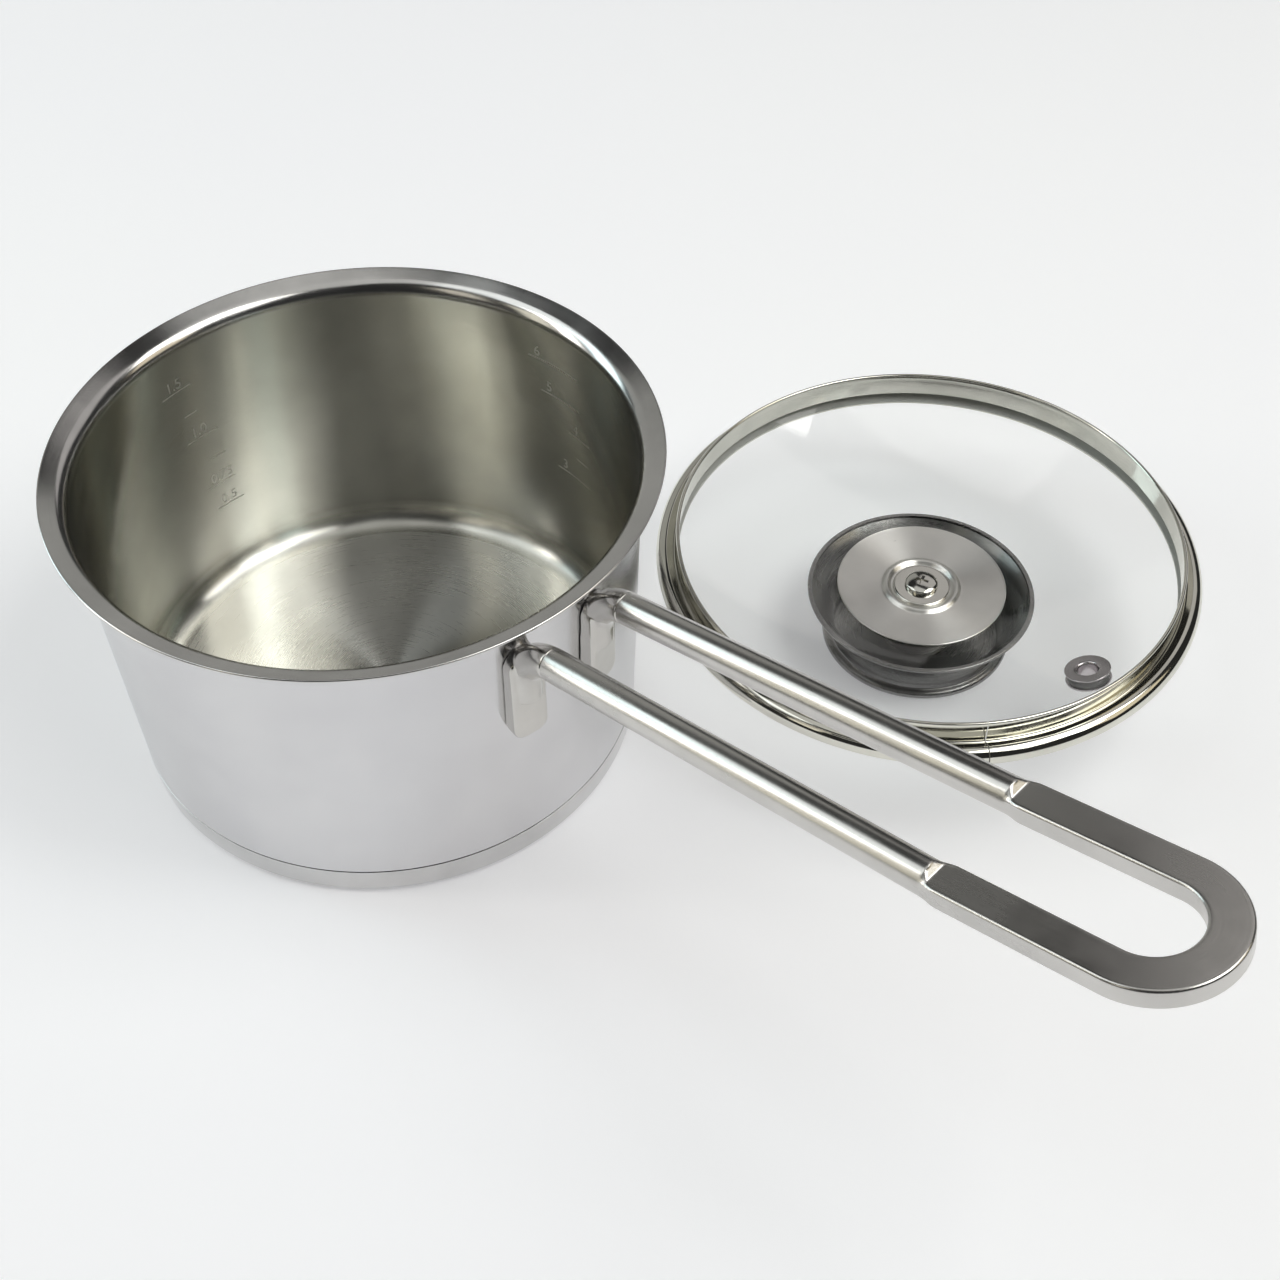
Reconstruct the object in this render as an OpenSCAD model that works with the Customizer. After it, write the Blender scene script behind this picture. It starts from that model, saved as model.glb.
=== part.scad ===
// Saucepan with a wire-frame handle, and its domed glass lid lying beside it on its knob.
// The pan stands on z = 0 with its axis on Z, and the handle runs out along +X.
// The lid lies upside down: its knob's flat face is on z = 0 and its skirt points up.

/* [Pan] */
// Inner radius of the wall just below the rim
mouth_r = 79.7; // [62:0.1:100]
// Height of the pan from the table to the top of the rim
pan_h = 104; // [84:0.5:130]
// Thickness of the drawn sheet
sheet_t = 0.9; // [0.6:0.1:1.2]
// How much narrower the wall is at the base than at the rim, on the radius
wall_draft = 3.0; // [1:0.1:4]
// How far the pouring rim flares out past the wall
rim_reach = 6.9; // [5:0.1:9]
// Bend radius under the pouring rim
rim_bend_r = 4; // [3:0.1:4.5]
// Slope of the rim's lip above level, in degrees
lip_slope = 20; // [10:1:30]
// Radius of the fillet between floor and wall, inside
floor_fillet_r = 8; // [5:0.5:10]

/* [Base] */
// Height of the inside floor above the table
floor_z = 7; // [6:0.1:9]
// Height of the seam where the base cap meets the wall
seam_z = 10.6; // [9:0.1:12]
// Width of the seam groove
seam_gap = 0.5; // [0.3:0.1:0.8]
// Thickness of the base cap
cap_t = 0.5; // [0.4:0.1:0.8]
// Corner radius of the base cap
cap_corner_r = 3; // [2:0.1:4]
// Depth that the wall is set in behind the cap's edge
cap_relief = 0.4; // [0.2:0.05:0.5]
// Thickness of the braze between the base's layers
braze_gap = 0.05; // [0.03:0.01:0.08]

/* [Handle] */
// Diameter of the handle rods
rod_d = 9; // [7.4:0.1:9.6]
// Depth of the rods' axis below the top of the rim, where they pass under its edge
rod_drop = 10.6; // [10.6:0.1:20]
// Upward slope of the handle, in degrees
rise = 10.5; // [0:0.5:14]
// Half the distance between the rods at their roots
root_half = 13.8; // [11:0.1:16]
// Half the distance between the rods at the loop end
loop_half = 15.5; // [13:0.1:18]
// Distance from the pan's axis to the centre of the loop's end bend
loop_s = 259.5; // [200:0.5:320]
// How much more the flat part rises than the rods, in degrees
flat_rise = 2.5; // [0:0.5:4]
// Length of the straight flat part of each leg
flat_len = 44.5; // [30:0.5:60]
// Width of the flat part of the bar
flat_w = 9.5; // [8:0.1:11]
// Thickness of the flat part of the bar
flat_t = 5.5; // [4:0.1:6.5]
// Rounding of the flat part's edges
flat_edge_r = 0.8; // [0.4:0.1:1.2]
// Length of the chamfer where the rod steps down to the flat
step_len = 1.6; // [1:0.1:3]

/* [Brackets] */
// Bend radius of the bracket's elbow, on its axis
elbow_r = 14; // [11:0.5:16]
// Width of the bracket's weld pad
pad_w = 10.9; // [9:0.1:12]
// Thickness of the weld pad
pad_t = 4.7; // [3:0.1:5]
// Depth of the pad's rounded top below the top of the rim
pad_drop = 12.5; // [12:0.5:18]
// Height of the weld pad
pad_len = 31.5; // [26:0.5:40]
// Radius of the pad's lower corners
pad_corner_r = 3.5; // [2:0.1:5]
// Gap of the weld between pad and wall
weld_gap = 0.05; // [0.03:0.01:0.1]

/* [Lid glass] */
// Radius of the glass's outer surface
dome_r = 200; // [150:1:260]
// Thickness of the glass
glass_t = 4; // [3:0.1:5]
// Radial clearance between the lid's skirt and the pan's mouth
seat_gap = 0.8; // [0.4:0.1:1.5]
// Distance from the skirt to the middle of the glass's rounded edge
edge_out = 2.9; // [2.5:0.1:4]
// How far the rounded edge of the glass reaches out
glass_nose = 2.3; // [1.5:0.1:2.6]
// Radius of the knob screw's hole in the glass
glass_hole_r = 4; // [3.5:0.1:5]

/* [Lid band] */
// Thickness of the band's sheet
band_t = 0.5; // [0.4:0.05:0.7]
// Thickness of the liner between glass and band
liner_t = 0.4; // [0.3:0.05:0.6]
// Height of the skirt above the band's flange
skirt_h = 7.5; // [5:0.1:12]
// Gap between neighbouring layers at the glass's edge
layer_gap = 0.05; // [0.03:0.01:0.1]
// Width of the butt joint in the band
butt_w = 0.35; // [0.2:0.05:0.6]
// Direction of the butt joint about the lid's axis, in degrees
butt_dir = -40.5; // [-180:0.5:180]

/* [Vent] */
// Distance of the steam vent from the lid's axis
vent_r = 63.7; // [45:0.1:68]
// Direction of the steam vent about the lid's axis, in degrees
vent_dir = -1.9; // [-180:0.1:180]
// Radius of the vent's bore
vent_bore_r = 3.1; // [2:0.1:3.5]
// Wall of the vent's tube
vent_wall = 0.6; // [0.4:0.1:0.8]
// Radius of the vent's flanges
vent_flange_r = 7; // [6:0.1:8]
// Thickness of the vent's flanges
vent_flange_t = 0.6; // [0.4:0.1:1]
// Thickness of the vent's gasket
vent_gasket_t = 0.5; // [0.3:0.1:0.8]
// Radial clearance of the vent's tube in the glass
vent_gap = 0.4; // [0.2:0.1:0.6]
// How far the vent's flanges stand off the glass at their middle
vent_sag = 0.2; // [0.15:0.05:0.4]
// Radius of the vent tube's swaged end
vent_swage_r = 5.5; // [4.5:0.1:6]

/* [Knob] */
// Height of the knob's brim above its flat face
knob_h = 21; // [18:0.1:26]
// Radius of the knob's flat end
knob_top_r = 30.7; // [26:0.1:33]
// Radius of the knob's brim
knob_brim_r = 36.6; // [33:0.1:40]
// Thickness of the knob's sheet
knob_t = 1; // [0.8:0.1:1.4]
// Radius of the knob's neck above its bead
knob_neck_r = 28.2; // [23:0.1:28.6]
// Height of the bead around the knob's flat end
knob_bead_h = 3; // [2.4:0.1:4]
// Curve of the knob's flared side: 1 is straight, more bends it out nearer to the brim
knob_flare = 2.2; // [1.5:0.1:3]
// Gap between the knob's post and the glass, filled by the knob gasket
knob_gasket_t = 1.1; // [0.8:0.1:2]
// Radius of the knob gasket
knob_gasket_r = 9; // [7:0.1:11]
// Distance from the brim up to the glass above the knob's middle
glass_lift = -2.1; // [-3:0.1:1]
// Radius of the knob's post
post_r = 6; // [5:0.1:8]
// Radius of the post's weld foot
post_foot_r = 11; // [9:0.1:14]
// Height of the post's weld foot
post_foot_h = 1.6; // [1:0.1:3]

/* [Backing disc and screw] */
// Radius of the backing disc inside the lid
disc_r = 26.9; // [22:0.1:30]
// Thickness of the backing disc
disc_t = 0.6; // [0.5:0.1:1]
// Radius of the raised ring around the screw's recess
ridge_r = 11.2; // [10.8:0.1:13]
// Half width of that raised ring
ridge_half = 1.6; // [1:0.1:1.8]
// Height of that raised ring
ridge_h = 0.9; // [0.5:0.1:1.2]
// Rise of the disc from its trough to its edge
dish_h = 1; // [0.5:0.1:1.5]
// Gap between the disc's edge and the glass
disc_edge_gap = 0.15; // [0.1:0.05:0.4]
// Thickness of the seal between glass and disc
seal_t = 0.6; // [0.5:0.1:1.2]
// Radius of the seal between glass and disc
seal_r = 8; // [6:0.1:9]
// Radius of the screw's shank
screw_r = 2.45; // [2:0.05:2.9]
// Radial clearance of the screw's thread in the post
thread_gap = 0.05; // [0.02:0.01:0.1]
// Radial clearance of the screw in the disc and the washer
screw_gap = 0.35; // [0.2:0.05:0.6]
// Length of the screw below its head
screw_len = 18; // [13:0.5:22]
// Radius of the screw's head
head_r = 5.2; // [4.5:0.1:6]
// Height of the screw's head
head_h = 2.2; // [1.8:0.1:3]
// Width of the cross recess in the screw's head
recess_w = 1.1; // [0.8:0.1:1.5]
// Direction of the cross recess, in degrees
recess_dir = 20; // [0:5:85]
// Radius of the screw's washer
washer_r = 9; // [7:0.1:9.2]
// Thickness of the screw's washer
washer_t = 0.7; // [0.5:0.1:1]

/* [Lid place] */
// Direction from the pan to the lid, in degrees from the handle
lid_dir = 51.7; // [45:0.1:120]
// Gap in plan between the pan's wall under the rim and the lid's edge
lid_apart = 5.6; // [4:0.1:40]

/* [Hidden] */
$fn = 96;
e = 0.01;
ARC = 10;

// Points of an arc about [x, y]; ry gives it a second radius.
function arc(x, y, r, a0, a1, n = ARC, ry = undef) =
    [for (i = [0:n]) let (a = a0 + (a1 - a0) * i / n, q = is_undef(ry) ? r : ry) [x + r * cos(a), y + q * sin(a)]];
function reversed(v) = [for (i = [len(v) - 1:-1:0]) v[i]];

// Pan: the wall is a cone that leans out by draft_a.
lip_rise = rim_bend_r * cos(lip_slope);
lip_len = (rim_reach - rim_bend_r * (1 - sin(lip_slope))) / cos(lip_slope);
bend_z = pan_h - lip_len * sin(lip_slope) - (rim_bend_r + sheet_t) * cos(lip_slope);
draft_a = atan(wall_draft / (bend_z - seam_z));
function wall_r(z) = mouth_r + sheet_t - (bend_z - z) * tan(draft_a);
wall_in_r = mouth_r - (bend_z - floor_z - floor_fillet_r) * tan(draft_a);
fillet_x = wall_in_r - floor_fillet_r / cos(draft_a);
fillet_z = floor_z + floor_fillet_r;
bend_x = mouth_r + (rim_bend_r + sheet_t) * cos(draft_a);
bend_c = bend_z - (rim_bend_r + sheet_t) * sin(draft_a);
rim_r = mouth_r + sheet_t + rim_reach;
lip = [cos(lip_slope), sin(lip_slope)];
lip_in = arc(bend_x, bend_c, rim_bend_r + sheet_t, 180 - draft_a, 90 + lip_slope);
lip_out = arc(bend_x, bend_c, rim_bend_r, 90 + lip_slope, 180 - draft_a);
lip_end = (lip_in[ARC] + lip_out[0]) / 2 + lip * (lip_len - sheet_t / 2);
rim_edge = arc(lip_end[0], lip_end[1], sheet_t / 2, 90 + lip_slope, lip_slope - 90, 6);
step_r = wall_r(seam_z) - cap_relief;
shell_low_x = wall_r(fillet_z) - cap_relief - fillet_x;

// Base
cap_out_r = wall_r(0);
cap_top_z = seam_z - seam_gap;

// Handle: the loop lies in a plane that rises by rise; s runs along it and z stands square to it.
rod_r = rod_d / 2;
rod_root_z = pan_h - rod_drop;
pad_top_z = pan_h - pad_drop;
pad_low_z = pad_top_z - pad_len;
flat_s = loop_s - flat_len;
pad_mid_r = wall_r((pad_low_z + pad_top_z) / 2) + pad_t / 2;
pad_dir = asin(root_half / pad_mid_r);
pad_mid_x = pad_mid_r * cos(pad_dir);
root_s = (pad_mid_x - elbow_r * (1 - sin(rise)) * sin(rise)) / cos(rise) + elbow_r * cos(rise);
toe = atan((loop_half - root_half) / (flat_s - root_s));
plane_z = rod_root_z - rim_r * sin(rise);

// Lid, in its own upright stack from the knob's face up
glass_z = knob_h + glass_lift;
skirt_r = mouth_r - seat_gap;
edge_c = skirt_r + edge_out;
dome_c = glass_z + dome_r;
in_r = dome_r - glass_t;
function low_z(r, off) = dome_c - sqrt(pow(dome_r + off, 2) - r * r);
function up_z(r, off) = dome_c - sqrt(pow(in_r - off, 2) - r * r);
function mid_z(off) = (low_z(edge_c, off) + up_z(edge_c, off)) / 2;
function half_z(off) = (up_z(edge_c, off) - low_z(edge_c, off)) / 2;
// Outline of the glass's edge, moved out by off, from radius a on its outer face to b on its inner face.
function edge_line(off, a, b) = concat(
    [for (i = [0:ARC]) let (r = a + (edge_c - a) * i / ARC) [r, low_z(r, off)]],
    [for (i = [1:ARC - 1]) let (t = -90 + 180 * i / ARC)
        [edge_c + (glass_nose + off) * cos(t), mid_z(off) + half_z(off) * sin(t)]],
    [for (i = [0:ARC]) let (r = edge_c + (b - edge_c) * i / ARC) [r, up_z(r, off)]]);
// The two faces of the glass between radius a and radius b, each in ARC steps.
function low_face(a, b) = [for (i = [0:ARC - 1]) let (r = a + (b - a) * i / ARC) [r, low_z(r, 0)]];
function up_face(a, b) = [for (i = [1:ARC]) let (r = a + (b - a) * i / ARC) [r, up_z(r, 0)]];
liner_off = layer_gap + liner_t;
band_in = liner_off + layer_gap;
band_out = band_in + band_t;
band_r = edge_c + glass_nose + band_out;
skirt_top_z = up_z(skirt_r, band_out) + skirt_h;
skirt_bend_r = 0.8;
hem_r = 0.6;

// Vent: square to the glass where it stands
vent_tilt = asin(vent_r / (dome_r - glass_t / 2));
vent_face = glass_t / 2 + vent_sag;
vent_tube_r = vent_bore_r + vent_wall;

// Knob and what clamps it
post_top_z = glass_z - knob_gasket_t;
seal_z = up_z(seal_r, 0) + layer_gap;
disc_z = seal_z + seal_t;
disc_edge_z = up_z(disc_r, 0) + disc_edge_gap;
trough_z = max(disc_z, disc_edge_z - dish_h);
washer_z = disc_z + disc_t;
head_z = washer_z + washer_t;
screw_hole_r = screw_r + screw_gap;

// The lid's place beside the pan
lid_x = (wall_r(bend_z) + band_r + lid_apart) * cos(lid_dir);
lid_y = (wall_r(bend_z) + band_r + lid_apart) * sin(lid_dir);

// A ring turned from an outline of [radius, height] points
module turned(points) rotate_extrude() polygon(points);

// A washer from z to z + h
module washer(r, hole, z, h) turned([[hole, z], [r, z], [r, z + h], [hole, z + h]]);

module pan_shell() color([0.72, 0.72, 0.70]) turned(concat(
    [[0, floor_z]],
    arc(fillet_x, fillet_z, floor_fillet_r, -90, -draft_a),
    lip_in,
    rim_edge,
    lip_out,
    [[wall_r(seam_z), seam_z], [step_r, seam_z]],
    reversed(arc(fillet_x, fillet_z, shell_low_x, -90, -draft_a, ARC, floor_fillet_r + sheet_t)),
    [[0, floor_z - sheet_t]]));

// Outline of the base cap, moved in by off
function cap_line(off) = concat(
    [[0, off]],
    arc(cap_out_r - cap_corner_r, cap_corner_r, cap_corner_r - off, -90, -draft_a),
    [[wall_r(cap_top_z) - off, cap_top_z]]);

module base_cap() color([0.66, 0.65, 0.65]) turned(concat(cap_line(0), reversed(cap_line(cap_t))));

module base_core() color([0.75, 0.76, 0.78]) turned(concat(
    cap_line(cap_t + braze_gap),
    reversed([for (p = arc(fillet_x, fillet_z, shell_low_x + braze_gap, -90, -draft_a, ARC,
                           floor_fillet_r + sheet_t + braze_gap)) if (p[1] < cap_top_z - cap_t) p]),
    [[0, floor_z - sheet_t - braze_gap]]));

// Rounded section of the flat bar, centred on x
module flat_section(x) {
    w = flat_w / 2 - flat_edge_r;
    h = flat_t / 2 - flat_edge_r;
    polygon(concat(arc(x + w, h, flat_edge_r, 0, 90, 4), arc(x - w, h, flat_edge_r, 90, 180, 4),
                   arc(x - w, -h, flat_edge_r, 180, 270, 4), arc(x + w, -h, flat_edge_r, 270, 360, 4)));
}

module in_handle_plane() translate([0, 0, plane_z]) rotate([0, -rise, 0]) children();

// The flat part's own plane, which rises a little more and starts at the step
module in_flat_plane() in_handle_plane() translate([flat_s, 0, 0]) rotate([0, -flat_rise, 0]) children();

// Places a child at a rod's root, with x along the rod and z square to the handle's plane
module at_root(side) in_handle_plane() translate([root_s, side * root_half, 0]) rotate([0, 0, side * toe]) children();

// One rod, cut down by two chamfers where the flat begins
module rod(side) {
    len = (flat_s - root_s) / cos(toe);
    at_root(side) difference() {
        rotate([0, 90, 0]) cylinder(r = rod_r, h = len + step_len);
        for (face = [0, 1]) mirror([0, 0, face]) translate([len, 0, flat_t / 2]) {
            translate([0, -rod_d, 0]) cube([step_len * 2, rod_d * 2, rod_d]);
            rotate([0, -45, 0]) translate([0, -rod_d, 0]) cube([rod_d, rod_d * 2, rod_d]);
        }
    }
}

module handle_bar() color([0.55, 0.54, 0.52]) union() {
    for (side = [-1, 1]) {
        rod(side);
        in_flat_plane() translate([0, side * loop_half, 0]) rotate([90, 0, 90])
            linear_extrude(flat_len) flat_section(0);
    }
    in_flat_plane() translate([flat_len, 0, 0]) rotate_extrude(angle = 180, start = -90)
        flat_section(loop_half);
}

// Outline of the weld pad: y across, z up
function pad_line() = concat(
    arc(pad_w / 2 - pad_corner_r, pad_low_z + pad_corner_r, pad_corner_r, -90, 0, 6),
    arc(0, pad_top_z - pad_w / 2, pad_w / 2, 0, 180, 16),
    arc(pad_corner_r - pad_w / 2, pad_low_z + pad_corner_r, pad_corner_r, 180, 270, 6));

module bracket(side) color([0.52, 0.50, 0.47]) difference() {
    union() {
        at_root(side) translate([0, 0, -elbow_r]) rotate([90, 0, 0])
            rotate_extrude(angle = 90 - rise, start = 90) translate([elbow_r, 0]) circle(r = rod_r);
        rotate([0, 0, side * pad_dir]) translate([pad_mid_r - pad_t, 0, 0]) rotate([90, 0, 90])
            linear_extrude(pad_t * 1.5) polygon(pad_line());
    }
    turned([[0, pad_low_z - 5], [wall_r(pad_low_z - 5) + weld_gap, pad_low_z - 5],
            [wall_r(bend_z) + weld_gap, bend_z], [0, bend_z]]);
}
module bracket_left() bracket(1);
module bracket_right() bracket(-1);

module in_lid() translate([lid_x, lid_y, 0]) children();

// Stands a child on the glass at the vent, with z square to the glass and pointing into the lid
module at_vent() rotate([0, 0, vent_dir]) translate([0, 0, dome_c]) rotate([0, -vent_tilt, 0])
    translate([0, 0, glass_t / 2 - dome_r]) children();

module lid_glass() in_lid() color([0.86, 0.90, 0.89, 0.4]) difference() {
    turned(concat(
        [[0, glass_z]],
        low_face(glass_hole_r * 2, skirt_r),
        edge_line(0, skirt_r, skirt_r),
        up_face(skirt_r, glass_hole_r * 2),
        [[0, glass_z + glass_t]]));
    translate([0, 0, glass_z - 1]) cylinder(r = glass_hole_r, h = glass_t + 2);
    at_vent() translate([0, 0, -glass_t]) cylinder(r = vent_tube_r + vent_gap, h = glass_t * 2);
}

module band_liner() in_lid() color([0.25, 0.25, 0.24])
    turned(concat(edge_line(layer_gap, skirt_r, skirt_r), reversed(edge_line(liner_off, skirt_r, skirt_r))));

module lid_band() in_lid() color([0.70, 0.69, 0.64]) difference() {
    turned(concat(
        edge_line(band_in, skirt_r, skirt_r - band_t),
        arc(skirt_r - hem_r, skirt_top_z - hem_r, hem_r, 180, 0, 8),
        arc(skirt_r + skirt_bend_r, up_z(skirt_r, band_out) + skirt_bend_r, skirt_bend_r, 180, 250, 4),
        reversed(edge_line(band_out, skirt_r, skirt_r + skirt_bend_r))));
    rotate([0, 0, butt_dir]) translate([skirt_r - 2, -butt_w / 2, 0])
        cube([edge_out + glass_nose + 6, butt_w, skirt_top_z + 1]);
}

module vent_eyelet() in_lid() at_vent() color([0.55, 0.53, 0.54]) turned([
    [vent_bore_r, -vent_face - vent_gasket_t - 2 * vent_flange_t],
    [vent_swage_r, -vent_face - vent_gasket_t - 2 * vent_flange_t],
    [vent_swage_r, -vent_face - vent_gasket_t - vent_flange_t],
    [vent_tube_r, -vent_face - vent_gasket_t - vent_flange_t],
    [vent_tube_r, vent_face], [vent_flange_r, vent_face], [vent_flange_r, vent_face + vent_flange_t / 2],
    [vent_flange_r - 0.5, vent_face + vent_flange_t], [vent_bore_r, vent_face + vent_flange_t]]);

module vent_ring() in_lid() at_vent() color([0.60, 0.59, 0.60])
    washer(vent_flange_r, vent_tube_r + layer_gap, -vent_face - vent_gasket_t - vent_flange_t, vent_flange_t);

module vent_gasket() in_lid() at_vent() color([0.20, 0.20, 0.20])
    washer(vent_flange_r - 0.8, vent_tube_r + layer_gap, -vent_face - vent_gasket_t, vent_gasket_t);

// The knob's side from its neck to its brim, moved in by off
function knob_side(off) = [for (i = [0:ARC]) let (t = i / ARC)
    [knob_neck_r - off + (knob_brim_r - knob_neck_r - knob_t / 2) * pow(t, knob_flare),
     knob_bead_h + knob_t + (knob_h - knob_bead_h - 2 * knob_t) * t]];

module knob_shell() in_lid() color([0.50, 0.50, 0.48]) turned(concat(
    [[0, 0]],
    arc(knob_top_r - knob_bead_h / 2, knob_bead_h / 2, knob_bead_h / 2, -90, 90),
    knob_side(0),
    arc(knob_brim_r - knob_t / 2, knob_h - knob_t / 2, knob_t / 2, -90, 90, 6),
    [[knob_brim_r - knob_t * 1.5, knob_h]],
    reversed(knob_side(knob_t)),
    [[knob_neck_r - knob_t, knob_t], [0, knob_t]]));

module knob_post() in_lid() color([0.62, 0.62, 0.60]) turned([
    [0, knob_t + layer_gap], [post_foot_r, knob_t + layer_gap], [post_foot_r, knob_t + post_foot_h],
    [post_r, knob_t + post_foot_h + 1], [post_r, post_top_z], [screw_r + thread_gap, post_top_z],
    [screw_r + thread_gap, head_z - screw_len - 1.5], [0, head_z - screw_len - 3]]);

module knob_gasket() in_lid() color([0.22, 0.22, 0.22])
    washer(knob_gasket_r, glass_hole_r - 1, post_top_z, knob_gasket_t - layer_gap);

module disc_seal() in_lid() color([0.24, 0.24, 0.23]) washer(seal_r, glass_hole_r - 1, seal_z, seal_t);

// Outline of the backing disc's underside, moved up by off
function disc_line(off) = concat(
    [[screw_hole_r, disc_z + off], [ridge_r - ridge_half, disc_z + off]],
    [for (i = [1:ARC - 1]) let (t = i / ARC)
        [ridge_r - ridge_half + 2 * ridge_half * t,
         disc_z + off + ridge_h * sin(180 * t) + (trough_z - disc_z) * t]],
    [[ridge_r + ridge_half, trough_z + off], [disc_r, disc_edge_z + off]]);

module backing_disc() in_lid() color([0.78, 0.78, 0.75]) turned(concat(disc_line(0), reversed(disc_line(disc_t))));

module screw_washer() in_lid() color([0.55, 0.55, 0.52])
    washer(min(washer_r, ridge_r - ridge_half - 0.3), screw_hole_r, washer_z, washer_t);

module knob_screw() in_lid() color([0.58, 0.58, 0.55]) difference() {
    union() {
        turned(concat([[0, head_z]], [[head_r, head_z], [head_r, head_z + head_h * 0.4]],
                      arc(0, head_z + head_h * 0.4, head_r, 0, 90, 8, head_h * 0.6)));
        translate([0, 0, head_z - screw_len]) cylinder(r = screw_r, h = screw_len + e);
    }
    for (turn = [0, 90]) translate([0, 0, head_z + head_h]) rotate([0, 0, turn + recess_dir])
        cube([head_r * 1.1, recess_w, head_h * 1.3], center = true);
}

pan_shell();
base_core();
base_cap();
handle_bar();
bracket_left();
bracket_right();
lid_glass();
band_liner();
lid_band();
vent_eyelet();
vent_ring();
vent_gasket();
knob_shell();
knob_post();
knob_gasket();
disc_seal();
backing_disc();
screw_washer();
knob_screw();
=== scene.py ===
"""Visual model of a small steel saucepan and its glass lid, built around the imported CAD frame.

Lengths in the size classes are millimetres; everything that reaches Blender is in metres.
"""

import logging
import math
from dataclasses import dataclass
from enum import Enum
from typing import Optional

import bmesh
import bpy
from mathutils import Matrix, Vector

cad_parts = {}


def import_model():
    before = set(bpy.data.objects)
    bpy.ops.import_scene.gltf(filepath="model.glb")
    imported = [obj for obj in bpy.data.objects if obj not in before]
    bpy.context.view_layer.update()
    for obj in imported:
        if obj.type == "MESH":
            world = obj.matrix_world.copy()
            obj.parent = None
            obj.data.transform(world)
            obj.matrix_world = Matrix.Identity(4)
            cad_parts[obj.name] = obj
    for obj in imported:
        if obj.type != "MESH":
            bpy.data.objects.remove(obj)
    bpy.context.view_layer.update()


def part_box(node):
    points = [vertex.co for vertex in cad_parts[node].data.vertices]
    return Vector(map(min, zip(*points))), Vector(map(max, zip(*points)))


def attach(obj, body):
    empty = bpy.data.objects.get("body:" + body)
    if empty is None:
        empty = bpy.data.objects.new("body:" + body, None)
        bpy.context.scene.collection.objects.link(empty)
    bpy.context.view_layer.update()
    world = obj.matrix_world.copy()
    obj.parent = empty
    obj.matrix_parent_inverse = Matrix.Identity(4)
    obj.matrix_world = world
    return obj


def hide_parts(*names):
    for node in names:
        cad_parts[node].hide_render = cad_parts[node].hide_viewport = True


LOG = logging.getLogger("saucepan")
MM = 0.001
SHARP = math.radians(42)
Point = tuple[float, float]
Colour = tuple[float, float, float]
Place = tuple[float, float, float]
Material = bpy.types.Material
Socket = bpy.types.NodeSocket
Object = bpy.types.Object
Mesh = bmesh.types.BMesh
Vert = bmesh.types.BMVert
Face = bmesh.types.BMFace


# ---- outlines


def arc(
    x: float, y: float, r: float, a0: float, a1: float, n: int = 16, ry: Optional[float] = None
) -> list[Point]:
    """Samples an arc.

    Args:
        x: Centre, first coordinate.
        y: Centre, second coordinate.
        r: Radius.
        a0: First angle in degrees.
        a1: Last angle in degrees.
        n: Number of steps.
        ry: Second radius, where the arc is elliptical.

    Returns:
        n + 1 points from a0 to a1.
    """
    q = r if ry is None else ry
    turn = [math.radians(a0 + (a1 - a0) * i / n) for i in range(n + 1)]
    return [(x + r * math.cos(t), y + q * math.sin(t)) for t in turn]


def line(a: Point, b: Point, n: int) -> list[Point]:
    """Splits the stretch from a to b.

    Args:
        a: First point.
        b: Last point.
        n: Number of steps.

    Returns:
        n + 1 points, both ends included.
    """
    return [(a[0] + (b[0] - a[0]) * i / n, a[1] + (b[1] - a[1]) * i / n) for i in range(n + 1)]


def smooth(t: float) -> float:
    """Eases t from 0 to 1."""
    t = min(max(t, 0.0), 1.0)
    return t * t * (3 - 2 * t)


@dataclass(frozen=True)
class Span:
    """A stretch of a lathe outline that takes one finish.

    Attributes:
        points: Radius and height of each point, in mm.
        slot: Index of the material on the faces that start at these points.
    """

    points: list[Point]
    slot: int = 0


# ---- meshes


def new_object(
    name: str, bm: Mesh, materials: list[Material], weighted: bool = True
) -> Object:
    """Turns a bmesh into a smooth-shaded object.

    Args:
        name: Name of the object.
        bm: The geometry; it is freed here.
        materials: Materials in slot order.
        weighted: Whether its corner normals follow the larger faces.

    Returns:
        The new object, linked to the scene.
    """
    bmesh.ops.recalc_face_normals(bm, faces=bm.faces)
    mesh = bpy.data.meshes.new(name)
    bm.to_mesh(mesh)
    bm.free()
    for material in materials:
        mesh.materials.append(material)
    mesh.shade_smooth()
    mesh.set_sharp_from_angle(angle=SHARP)
    obj = bpy.data.objects.new(name, mesh)
    bpy.context.scene.collection.objects.link(obj)
    if weighted:
        obj.modifiers.new("weighted", "WEIGHTED_NORMAL").keep_sharp = True
    return obj


def tube(bm: Mesh, rings: list[list[Vert]]) -> list[Face]:
    """Joins closed rings of one length into a tube and closes its ends.

    Args:
        bm: Mesh that the rings are in.
        rings: The rings in order.

    Returns:
        The side faces, ring by ring.
    """
    sides = []
    for a, b in zip(rings, rings[1:]):
        for j in range(len(a)):
            k = (j + 1) % len(a)
            sides.append(bm.faces.new((a[j], a[k], b[k], b[j])))
    bm.faces.new(rings[0])
    bm.faces.new(rings[-1])
    return sides


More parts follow.
